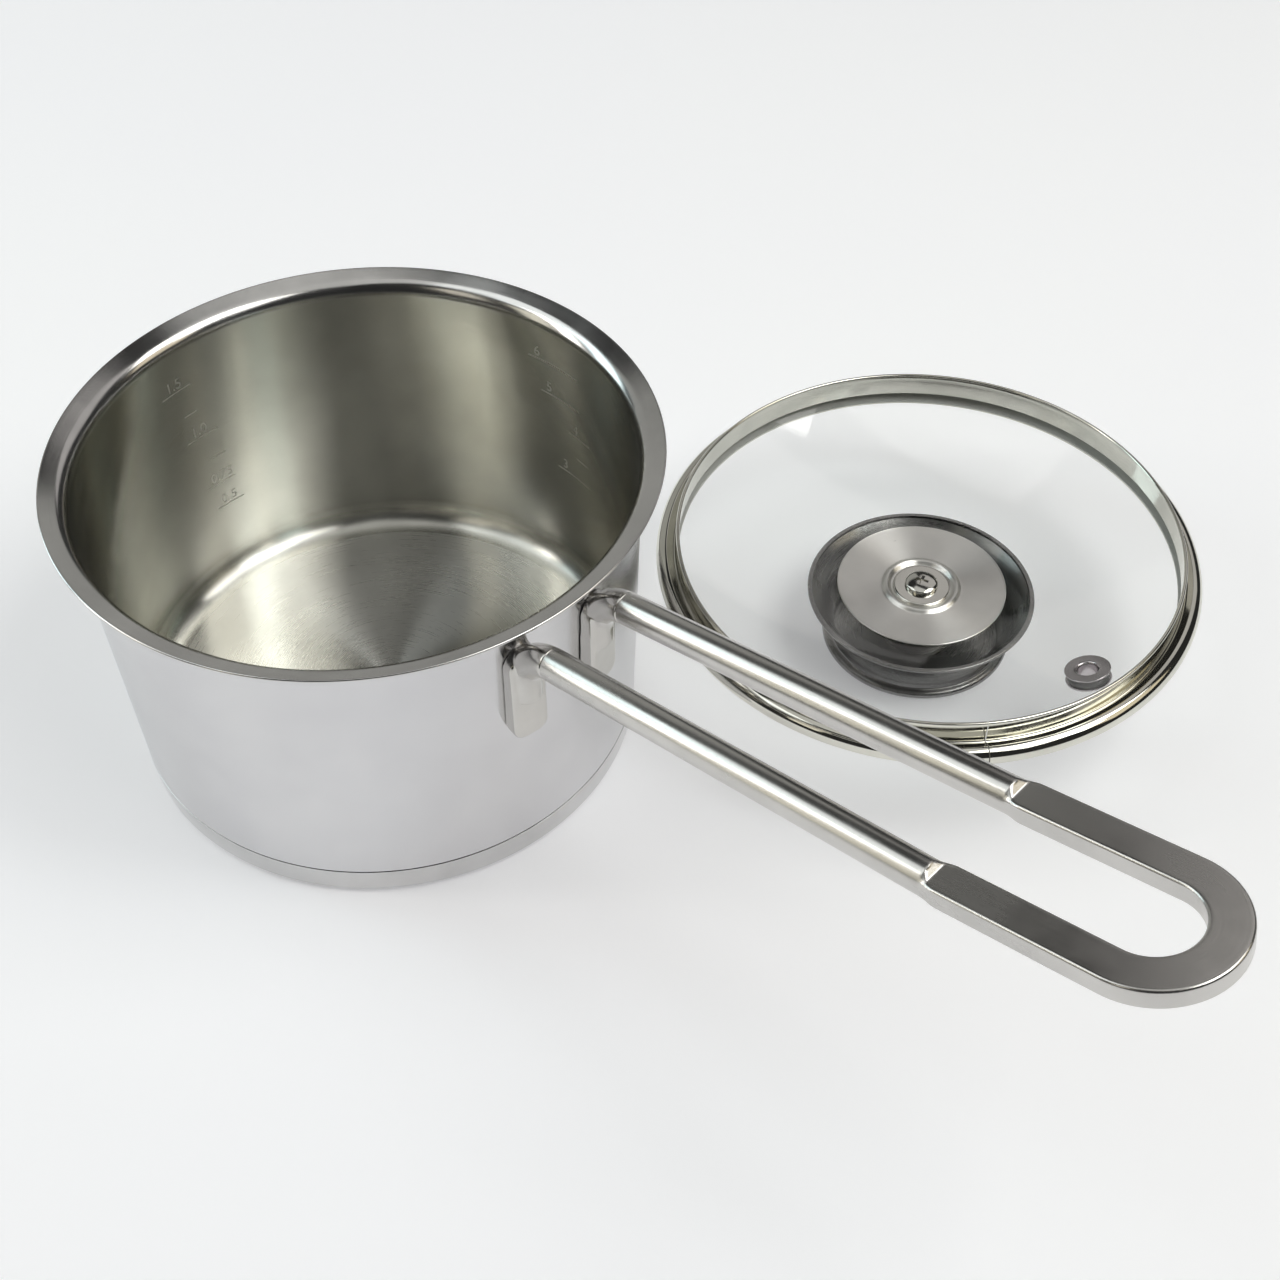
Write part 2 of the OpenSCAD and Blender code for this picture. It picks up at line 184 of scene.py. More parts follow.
@dataclass(frozen=True)
class Lathe:
    """A ring or disc turned about its own Z axis.

    Attributes:
        name: Name of the piece.
        spans: The closed outline, stretch by stretch.
        materials: Materials in slot order.
        steps: Number of segments in a whole turn.
        gap: Angle in degrees that is left open, centred on gap_at.
        gap_at: Direction of the open angle, in degrees.
    """

    name: str
    spans: list[Span]
    materials: list[Material]
    steps: int = 256
    gap: float = 0.0
    gap_at: float = 0.0

    def build(self) -> Object:
        """Revolves the outline.

        Returns:
            The object, with its axis through its own origin.
        """
        bm = bmesh.new()
        pts = [(p, s.slot) for s in self.spans for p in s.points]
        rings = []
        count = self.steps + 1 if self.gap else self.steps
        first = math.radians(self.gap_at + self.gap / 2)
        sweep = math.radians(360 - self.gap)
        for (r, z), _ in pts:
            if abs(r) < 1e-6:
                rings.append([bm.verts.new((0, 0, z * MM))])
                continue
            turn = [first + sweep * i / self.steps for i in range(count)]
            ring = [(r * MM * math.cos(t), r * MM * math.sin(t), z * MM) for t in turn]
            rings.append([bm.verts.new(spot) for spot in ring])
        for i, (_, slot) in enumerate(pts):
            here, there = rings[i], rings[(i + 1) % len(rings)]
            if len(here) == 1 and len(there) == 1:
                continue
            for j in range(self.steps):
                k = (j + 1) % count
                quad = [ring[n % len(ring)] for ring, n in ((here, j), (here, k), (there, k), (there, j))]
                quad = [v for n, v in enumerate(quad) if v not in quad[:n]]
                if len(quad) > 2:
                    bm.faces.new(quad).material_index = slot
        if self.gap:
            bm.faces.new([ring[0] for ring in rings])
            bm.faces.new([ring[-1] for ring in rings])
        return new_object(self.name, bm, self.materials)


@dataclass(frozen=True)
class Sweep:
    """A bar whose section changes along its path.

    Attributes:
        name: Name of the piece.
        sections: Rings of points in metres, all of one length.
        material: The bar's finish.
    """

    name: str
    sections: list[list[Vector]]
    material: Material

    def build(self) -> Object:
        """Skins the sections and closes both ends; u runs along the bar and v around it, in metres.

        Returns:
            The object.
        """
        bm = bmesh.new()
        uv = bm.loops.layers.uv.new("along")
        rings = [[bm.verts.new(p) for p in ring] for ring in self.sections]
        n = len(rings[0])
        run = [0.0]
        for a, b in zip(self.sections, self.sections[1:]):
            middle_a, middle_b = sum(a, Vector()) / n, sum(b, Vector()) / n
            run.append(run[-1] + (middle_b - middle_a).length)
        around = [0.0]
        for j in range(n):
            around.append(around[-1] + (self.sections[0][(j + 1) % n] - self.sections[0][j]).length)
        for number, face in enumerate(tube(bm, rings)):
            i, j = divmod(number, n)
            for loop, (di, dj) in zip(face.loops, ((0, 0), (0, 1), (1, 1), (1, 0))):
                loop[uv].uv = (run[i + di], around[j + dj])
        return new_object(self.name, bm, [self.material])


def cut(obj: Object, cutter: Object) -> None:
    """Takes the cutter out of an object and removes the cutter.

    Args:
        obj: The object that is cut.
        cutter: The closed mesh that is taken away.
    """
    modifier = obj.modifiers.new("cut", "BOOLEAN")
    modifier.operation = "DIFFERENCE"
    modifier.solver = "EXACT"
    modifier.object = cutter
    obj.modifiers.move(len(obj.modifiers) - 1, 0)
    graph = bpy.context.evaluated_depsgraph_get()
    obj.modifiers["weighted"].show_viewport = False
    graph.update()
    mesh = bpy.data.meshes.new_from_object(obj.evaluated_get(graph))
    old = obj.data
    obj.modifiers.remove(modifier)
    obj.data = mesh
    bpy.data.meshes.remove(old)
    bpy.data.objects.remove(cutter)
    obj.data.set_sharp_from_angle(angle=SHARP)
    obj.modifiers["weighted"].show_viewport = True


def place(
    obj: Object, body: str, slot: str, *nodes: str, at: Place = (0, 0, 0)
) -> None:
    """Puts a piece in the frame; one that already has a placing keeps it.

    Args:
        obj: The piece.
        body: The body it rides on.
        slot: The record's material slot; not used.
        *nodes: CAD nodes that it stands for.
        at: Where its origin goes, in metres.
    """
    if obj.matrix_world == Matrix.Identity(4):
        obj.location = at
    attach(obj, body)
    if nodes:
        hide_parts(*nodes)


def dress(node: str, material: Material) -> None:
    """Gives a CAD node a better material.

    Args:
        node: Name of the node.
        material: The material that all its slots take.
    """
    obj = bpy.data.objects[node]
    if not obj.data.materials:
        obj.data.materials.append(material)
    for i in range(len(obj.data.materials)):
        obj.data.materials[i] = material


# ---- node trees


class Graph:
    """A node tree under construction."""

    def __init__(self, owner: bpy.types.ID) -> None:
        """Empties the owner's tree.

        Args:
            owner: A material or a world.
        """
        owner.use_nodes = True
        self.tree = owner.node_tree
        self.tree.nodes.clear()

    def add(
        self, kind: str, inputs: Optional[dict] = None, out: int | str = 0, **props
    ) -> Optional[Socket]:
        """Adds a node.

        Args:
            kind: Node type without its ShaderNode prefix.
            inputs: Value or source socket of each input, by name or index.
            out: Name or index of the output that is returned.
            **props: Settings of the node.

        Returns:
            The chosen output socket, or None for a node without outputs.
        """
        node = self.tree.nodes.new("ShaderNode" + kind)
        for key, value in props.items():
            setattr(node, key, value)
        for key, value in (inputs or {}).items():
            if isinstance(value, Socket):
                self.tree.links.new(value, node.inputs[key])
            else:
                node.inputs[key].default_value = value
        return node.outputs[out] if len(node.outputs) else None

    def math(self, kind: str, a, b=0.0) -> Socket:
        """Adds a maths node on a and b, which are numbers or sockets, and returns its result."""
        return self.add("Math", {0: a, 1: b}, operation=kind)

    def mix(self, factor, a, b) -> Socket:
        """Blends two colours.

        Args:
            factor: 0 for a, 1 for b; a number or a socket.
            a: First colour, or its socket.
            b: Second colour, or its socket.

        Returns:
            The blended colour.
        """
        node = self.tree.nodes.new("ShaderNodeMix")
        node.data_type = "RGBA"
        for socket, value in ((node.inputs[0], factor), (node.inputs[6], a), (node.inputs[7], b)):
            if isinstance(value, Socket):
                self.tree.links.new(value, socket)
            else:
                socket.default_value = value
        return node.outputs[2]

    def span(self, value, low: float, high: float, to_low: float, to_high: float) -> Socket:
        """Maps a value from one range onto another, clamped, and returns the result."""
        return self.add("MapRange", {0: value, 1: low, 2: high, 3: to_low, 4: to_high})

    def surface(self, socket: Socket) -> None:
        """Ends the tree in a surface output fed by the socket."""
        self.add("OutputMaterial", {"Surface": socket})


def rgba(colour: Colour) -> tuple[float, float, float, float]:
    """Adds an alpha of 1 to a colour."""
    return (*colour, 1.0)


def shade(colour: Colour, by: float) -> Colour:
    """Darkens a colour evenly."""
    return tuple(c * by for c in colour)


def new_material(name: str) -> tuple[Material, Graph, Socket]:
    """Starts a material.

    Args:
        name: Its name.

    Returns:
        The material, its empty tree and its object coordinates.
    """
    material = bpy.data.materials.new(name)
    g = Graph(material)
    return material, g, g.add("TexCoord", out="Object")


# ---- finishes


class Grain(Enum):
    """How the metal was brushed."""

    AROUND = "around the piece's own Z axis"
    ALONG = "along a swept bar"
    NONE = "polished or blasted, with no direction"


@dataclass(frozen=True)
class Metal:
    """A steel or aluminium finish.

    Attributes:
        name: Name of the material.
        colour: Reflected colour face on.
        rough: Roughness of the finish.
        grain: Direction of the brushing.
        brush: Depth of the brush lines, 0 to 1.
        stretch: How far the brushing stretches a highlight, 0 to 1.
        patches: How much the roughness drifts over the surface.
        lines: Brush lines per metre across the grain.
        tint: Colour of the darker patches.
        centre: Place of the axis, for a piece whose own origin isn't on it.
    """

    name: str
    colour: Colour
    rough: float
    grain: Grain = Grain.NONE
    brush: float = 0.3
    stretch: float = 0.0
    patches: float = 0.25
    lines: float = 2600.0
    tint: Optional[Colour] = None
    centre: Place = (0.0, 0.0, 0.0)

    def _lines(self, g: Graph, spot: Socket) -> Socket:
        """Makes the brush lines.

        Args:
            g: The tree.
            spot: Object coordinates about the axis.

        Returns:
            A value from 0 to 1 that changes quickly across the grain and slowly along it.
        """
        if self.grain is Grain.ALONG:
            uv = g.add("UVMap", out="UV", uv_map="along")
            place = g.add("Mapping", {0: uv, "Scale": (60.0, self.lines, 1.0)})
        elif self.grain is Grain.AROUND:
            flat = g.add("VectorMath", {0: spot, 1: (1.0, 1.0, 0.0)}, operation="MULTIPLY")
            unit = g.add("VectorMath", {0: flat}, operation="NORMALIZE")
            radius = g.add("VectorMath", {0: flat}, out="Value", operation="LENGTH")
            height = g.add("SeparateXYZ", {0: spot}, out="Z")
            across = g.math("MULTIPLY", g.math("ADD", radius, height), self.lines)
            wide = g.add("VectorMath", {0: unit, "Scale": 1.8}, operation="SCALE")
            place = g.add("VectorMath", {0: wide, 1: g.add("CombineXYZ", {2: across})}, operation="ADD")
        else:
            place = g.add("Mapping", {0: spot, "Scale": (self.lines,) * 3})
        return g.add("TexNoise", {"Vector": place, "Scale": 1.0, "Detail": 3.0, "Roughness": 0.7})

    def build(self) -> Material:
        """Makes the material.

        Returns:
            A procedural metal.
        """
        material, g, spot = new_material(self.name)
        spot = g.add("VectorMath", {0: spot, 1: self.centre}, operation="SUBTRACT")
        lines = self._lines(g, spot)
        drift = g.add("TexNoise", {"Vector": spot, "Scale": 38.0, "Detail": 4.0, "Roughness": 0.55})
        smear = g.add("TexNoise", {"Vector": spot, "Scale": 260.0, "Detail": 2.0, "Roughness": 0.6})
        dark = self.tint or shade(self.colour, 0.86)
        scored = shade(self.colour, 1 - 0.28 * self.brush)
        colour = g.mix(g.span(drift, 0.35, 0.68, 0.0, 1.0), rgba(self.colour), rgba(dark))
        depth = g.math("MULTIPLY", g.span(lines, 0.48, 0.72, 0.0, 1.0), self.brush)
        colour = g.mix(depth, colour, rgba(scored))
        swing = self.patches * self.rough
        rough = g.math("ADD", self.rough, g.span(drift, 0.3, 0.7, -swing, swing))
        rough = g.math("ADD", rough, g.span(lines, 0.3, 0.7, 0.0, 0.5 * self.brush * self.rough))
        rough = g.math("ADD", rough, g.span(smear, 0.45, 0.75, 0.0, 0.2 * swing))
        bump = g.add("Bump", {"Strength": 0.35 * self.brush, "Distance": 0.00004, "Height": lines})
        inputs = {"Base Color": colour, "Metallic": 1.0, "Roughness": rough, "Normal": bump,
                  "Anisotropic": self.stretch}
        if self.stretch and self.grain is Grain.AROUND:
            inputs["Tangent"] = g.add("Tangent", direction_type="RADIAL", axis="Z")
            inputs["Anisotropic Rotation"] = 0.25
        elif self.stretch and self.grain is Grain.ALONG:
            inputs["Tangent"] = g.add("Tangent", direction_type="UV_MAP", uv_map="along")
            inputs["Anisotropic Rotation"] = 0.25
        g.surface(g.add("BsdfPrincipled", inputs))
        return material


@dataclass(frozen=True)
class Glass:
    """Clear glass with a faint tint.

    Attributes:
        name: Name of the material.
        colour: Colour of what passes through.
        rough: Roughness of the polished surface.
    """

    name: str
    colour: Colour = (0.985, 0.988, 0.982)
    rough: float = 0.005

    def build(self) -> Material:
        """Makes the material.

        Returns:
            A refracting glass that lets light through to the table.
        """
        material, g, spot = new_material(self.name)
        haze = g.add("TexNoise", {"Vector": spot, "Scale": 55.0, "Detail": 5.0, "Roughness": 0.6})
        rough = g.span(haze, 0.5, 0.8, self.rough, self.rough + 0.02)
        body = g.add("BsdfPrincipled", {"Base Color": rgba(self.colour), "Roughness": rough, "IOR": 1.5,
                                        "Specular IOR Level": 0.1, "Transmission Weight": 1.0})
        clear = g.add("BsdfTransparent", {"Color": rgba((0.93, 0.94, 0.935))})
        shadow = g.add("LightPath", out="Is Shadow Ray")
        bounce = g.add("LightPath", out="Is Diffuse Ray")
        g.surface(g.add("MixShader", {0: g.math("MAXIMUM", shadow, bounce), 1: body, 2: clear}))
        return material


@dataclass(frozen=True)
class Soft:
    """Silicone or plastic.

    Attributes:
        name: Name of the material.
        colour: Its colour.
        rough: Its roughness.
    """

    name: str
    colour: Colour
    rough: float

    def build(self) -> Material:
        """Makes the material.

        Returns:
            A slightly uneven moulded surface.
        """
        material, g, spot = new_material(self.name)
        grain = g.add("TexNoise", {"Vector": spot, "Scale": 1400.0, "Detail": 3.0})
        colour = g.mix(grain, rgba(self.colour), rgba(shade(self.colour, 0.8)))
        rough = g.span(grain, 0.3, 0.7, self.rough, self.rough + 0.1)
        bump = g.add("Bump", {"Strength": 0.2, "Distance": 0.00005, "Height": grain})
        inputs = {"Base Color": colour, "Roughness": rough, "Normal": bump, "IOR": 1.42}
        g.surface(g.add("BsdfPrincipled", inputs))
        return material


@dataclass(frozen=True)
class Table:
    """A plain pale surface.

    Attributes:
        name: Name of the material.
        colour: Its colour.
        glow: Strength of the light that comes through it from below.
        glow_colour: Colour of that light.
    """

    name: str = "table_top"
    colour: Colour = (0.88, 0.88, 0.885)
    glow: float = 0.28
    glow_colour: Colour = (0.96, 0.97, 1.0)

    def build(self) -> Material:
        """Makes the material.

        Returns:
            A matt white with a trace of unevenness.
        """
        material, g, spot = new_material(self.name)
        cloud = g.add("TexNoise", {"Vector": spot, "Scale": 2.2, "Detail": 2.0})
        red, green, blue = self.colour
        cool = (red * 0.985, green * 0.982, blue)
        colour = g.mix(g.span(cloud, 0.35, 0.65, 0.0, 1.0), rgba(self.colour), rgba(cool))
        inputs = {"Base Color": colour, "Roughness": 0.6, "Specular IOR Level": 0.25,
                  "Emission Color": rgba(self.glow_colour), "Emission Strength": self.glow}
        g.surface(g.add("BsdfPrincipled", inputs))
        return material


# ---- the pan


@dataclass
class Pan:
    """The pan's shell and its capped base.

    Attributes:
        mouth_r: Inner radius of the wall just below the rim.
        height: Height of the rim's top edge.
        sheet: Thickness of the drawn sheet.
        draft: How much narrower the wall is at the seam, on the radius.
        reach: How far the rim flares past the wall.
        bend_r: Bend radius under the rim.
        lip_slope: Slope of the lip in degrees.
        fillet_r: Fillet between floor and wall.
        floor: Height of the inside floor.
        seam: Height of the seam above the base cap.
        seam_gap: Width of the seam groove.
        cap_corner: Corner radius of the base cap.
        relief: Depth of the groove behind the seam.
        cap_t: Thickness of the base cap.
        dimple_r: Radius of the shallow dimple under the base.
        dimple: Depth of that dimple.
        inside: Finish of the inner wall.
        base: Finish of the inside floor.
        outside: Finish of the outer wall.
        lip: Finish of the pouring rim.
        cap: Finish of the base cap's side.
        under: Finish of its underside.
        groove: Near-black steel inside the seam, painted shade for the narrow gap.
        core: Finish of the aluminium core.
    """

    mouth_r: float = 79.7
    height: float = 104.0
    sheet: float = 0.9
    draft: float = 3.0
    reach: float = 6.9
    bend_r: float = 4.0
    lip_slope: float = 20.0
    fillet_r: float = 8.0
    floor: float = 7.0
    seam: float = 10.6
    seam_gap: float = 0.5
    cap_corner: float = 3.0
    relief: float = 0.4
    cap_t: float = 0.5
    dimple_r: float = 6.0
    dimple: float = 0.35
    inside: Metal = Metal("steel_inside", (0.66, 0.655, 0.605), 0.19, Grain.AROUND, 0.3, 1.0, 0.05, 2600.0)
    base: Metal = Metal("steel_floor", (0.76, 0.755, 0.71), 0.265, Grain.AROUND, 0.25, 1.0, 0.05, 2600.0)
    outside: Metal = Metal("steel_outside", (0.70, 0.695, 0.70), 0.17, Grain.AROUND, 0.12, 1.0, 0.06, 1700.0,
                            (0.66, 0.655, 0.665))
    lip: Metal = Metal("steel_lip", (0.70, 0.69, 0.675), 0.17, Grain.AROUND, 0.35, 0.35, 0.3, 2600.0)
    cap: Metal = Metal("steel_cap", (0.68, 0.675, 0.67), 0.12, Grain.AROUND, 0.3, 0.4, 0.4, 1500.0)
    under: Metal = Metal("steel_under", (0.70, 0.69, 0.68), 0.26, Grain.AROUND, 0.9, 0.8, 0.2, 1500.0)
    # Near-black steel on the surfaces seen through the seam gap: painted shade.
    groove: Metal = Metal("steel_groove_painted_shade", (0.07, 0.065, 0.06), 0.5)
    core: Metal = Metal("aluminium_core", (0.80, 0.81, 0.82), 0.42, Grain.AROUND, 0.6, 0.2)

    def __post_init__(self) -> None:
        """Works out the bend under the rim and the wall's slope."""
        slope = math.radians(self.lip_slope)
        self.lip_len = (self.reach - self.bend_r * (1 - math.sin(slope))) / math.cos(slope)
        outer_bend = self.bend_r + self.sheet
        self.bend_z = self.height - self.lip_len * math.sin(slope) - outer_bend * math.cos(slope)
        self.draft_a = math.degrees(math.atan(self.draft / (self.bend_z - self.seam)))

    def wall(self, z: float) -> float:
        """Gives the outer radius of the wall at height z, in mm."""
        return self.mouth_r + self.sheet - (self.bend_z - z) * math.tan(math.radians(self.draft_a))

    def wall_in(self, z: float) -> float:
        """Gives the inner radius of the wall at height z, in mm."""
        return self.wall(z) - self.sheet / math.cos(math.radians(self.draft_a))

    def shell_spans(self) -> list[Span]:
        """Gives the shell's outline.

        Returns:
            Spans with the slots inside 0, lip 1, outside 2, groove 3 and floor 4.
        """
        a, slope = self.draft_a, math.radians(self.lip_slope)
        fillet_z = self.floor + self.fillet_r
        fillet_x = self.wall_in(fillet_z) - self.fillet_r
        outer_bend = self.bend_r + self.sheet
        bend_x = self.mouth_r + outer_bend * math.cos(math.radians(a))
        bend_c = self.bend_z - outer_bend * math.sin(math.radians(a))
        top = arc(bend_x, bend_c, outer_bend, 180 - a, 90 + self.lip_slope, 20)
        low = arc(bend_x, bend_c, self.bend_r, 90 + self.lip_slope, 180 - a, 20)
        mid = ((top[-1][0] + low[0][0]) / 2, (top[-1][1] + low[0][1]) / 2)
        run = self.lip_len - self.sheet / 2
        tip = (mid[0] + math.cos(slope) * run, mid[1] + math.sin(slope) * run)
        edge = arc(tip[0], tip[1], self.sheet / 2, 90 + self.lip_slope, self.lip_slope - 90, 12)
        foot = self.wall(self.seam)
        step = foot - self.relief
        deep = step - fillet_x - 0.1
        under = arc(fillet_x, fillet_z, deep, -a, -90, 12, self.fillet_r + self.sheet)
        return [
            Span(line((0, self.floor), (fillet_x, self.floor), 40)[:-1], 4),
            Span(arc(fillet_x, fillet_z, self.fillet_r, -90, -a, 24)
                 + line((self.wall_in(fillet_z + 1), fillet_z + 1), top[0], 24)[:-1]),
            Span(top + line(top[-1], edge[0], 4)[1:] + edge[1:] + line(edge[-1], low[0], 4)[1:-1], 1),
            Span(low + line(low[-1], (foot, self.seam + 0.25), 30)[1:]
                 + [(foot - 0.05, self.seam + 0.06), (foot - 0.18, self.seam)], 2),
            Span([(step, self.seam - 0.02)] + under + [(0, self.floor - self.sheet)], 3),
        ]

    def cap_spans(self) -> list[Span]:
        """Gives the base cap's outline.

        Returns:
            Spans with the slots side 0, underside 1 and groove 2.
        """
        r0, a, c, t = self.wall(0), self.draft_a, self.cap_corner, self.cap_t
        top = self.seam - self.seam_gap
        side = self.wall(top)
        flat = self.dimple_r + 1.0
        turn = arc(r0 - c, c, c, -90, -a, 16)
        inner = arc(r0 - c, c, c - t, -a, -90, 12)
        dimple = [(0, self.dimple), (self.dimple_r, self.dimple), (flat, 0.0)]
        return [
            Span(dimple + line((flat, 0), turn[0], 40)[1:-1], 1),
            Span(turn + line(turn[-1], (side, top - 0.2), 6)[1:]
                 + [(side - 0.06, top - 0.06), (side - 0.2, top)]),
            Span([(side - t, top - 0.02)] + inner + [(0, t)], 2),
        ]

    def build(self) -> None:
        """Makes the shell and the cap, and dresses the aluminium core."""
        inside, lip, outside, cap = (m.build() for m in (self.inside, self.lip, self.outside, self.cap))
        groove, under, base = self.groove.build(), self.under.build(), self.base.build()
        shell = Lathe("pan_body", self.shell_spans(), [inside, lip, outside, groove, base], 320).build()
        place(shell, "pan", "pan_steel", "pan_shell")
        cap_piece = Lathe("base_cap_skin", self.cap_spans(), [cap, under, groove], 320).build()
        place(cap_piece, "pan", "cap_steel", "base_cap")
        dress("base_core", self.core.build())
        LOG.info("pan: shell, base cap and core")


# ---- marks inside the pan


@dataclass(frozen=True)
class Marks:
    """Etched filling marks on the inner wall.

    Attributes:
        pan: The pan they are on.
        heights: Height in mm, first and last direction in degrees, and figure of each mark.
        line_h: Height of a mark's line.
        lift: How far the etching stands off the wall.
        letter_h: Height of a figure.
        overlap: How far a figure starts before the end of its line, in degrees.
        above: Distance from a line to the foot of its figure.
        steps: Number of segments in a line.
    """

    pan: Pan
    heights: tuple[tuple[float, float, float, str], ...] = (
        (84.8, 181.5, 189.5, "1.5"), (74.5, 181.5, 185.0, ""), (64.6, 177.5, 186.0, "1.0"),
        (54.5, 177.0, 181.0, ""), (44.0, 176.0, 184.0, "0.75"), (34.5, 175.0, 182.5, "0.5"),
        (86.3, 84.0, 99.0, "6"), (74.7, 83.5, 95.5, "5"), (64.0, 79.5, 87.0, "4"),
        (55.5, 80.0, 84.0, ""), (47.5, 79.0, 90.5, "3"),
    )
    line_h: float = 0.45
    lift: float = 0.03
    letter_h: float = 5.0
    overlap: float = 1.5
    above: float = 1.0
    steps: int = 16

    def _spot(self, turn: float, z: float) -> Vector:
        """Gives the point of the inner wall at a direction in degrees and a height in mm."""
        r = self.pan.wall_in(z) - self.lift
        return Vector((r * math.cos(math.radians(turn)), r * math.sin(math.radians(turn)), z)) * MM

    def _figure(self, bm: Mesh, text: str, turn: float, z: float) -> None:
        """Wraps a figure onto the wall.

        Args:
            bm: Mesh that receives the figure.
            text: The digits.
            turn: Direction of the figure's left end, in degrees.
            z: Height of its lower edge.
        """
        curve = bpy.data.curves.new("figure", "FONT")
        curve.body, curve.size = text, self.letter_h
        carrier = bpy.data.objects.new("figure", curve)
        bpy.context.scene.collection.objects.link(carrier)
        graph = bpy.context.evaluated_depsgraph_get()
        mesh = bpy.data.meshes.new_from_object(carrier.evaluated_get(graph))
        radius = self.pan.wall_in(z)
        spots = [(turn - math.degrees(v.co.x / radius), z + v.co.y) for v in mesh.vertices]
        verts = [bm.verts.new(self._spot(*spot)) for spot in spots]
        for polygon in mesh.polygons:
            bm.faces.new([verts[i] for i in polygon.vertices])
        bpy.data.objects.remove(carrier)
        bpy.data.meshes.remove(mesh)
        bpy.data.curves.remove(curve)

    def build(self) -> None:
        """Makes all the marks as one thin piece."""
        bm = bmesh.new()
        for z, a, b, figure in self.heights:
            turns = [a + (b - a) * i / self.steps for i in range(self.steps + 1)]
            low = [bm.verts.new(self._spot(t, z - self.line_h / 2)) for t in turns]
            high = [bm.verts.new(self._spot(t, z + self.line_h / 2)) for t in turns]
            for i in range(self.steps):
                bm.faces.new((low[i], low[i + 1], high[i + 1], high[i]))
            if figure:
                self._figure(bm, figure, b - self.overlap, z + self.above)
        etched = Metal("steel_etched", (0.80, 0.79, 0.74), 0.5, patches=0.3, brush=0.5)
        piece = new_object("filling_marks", bm, [etched.build()], weighted=False)
        place(piece, "pan", "pan_steel")
        LOG.info("filling marks: %d", len(self.heights))


# ---- the handle


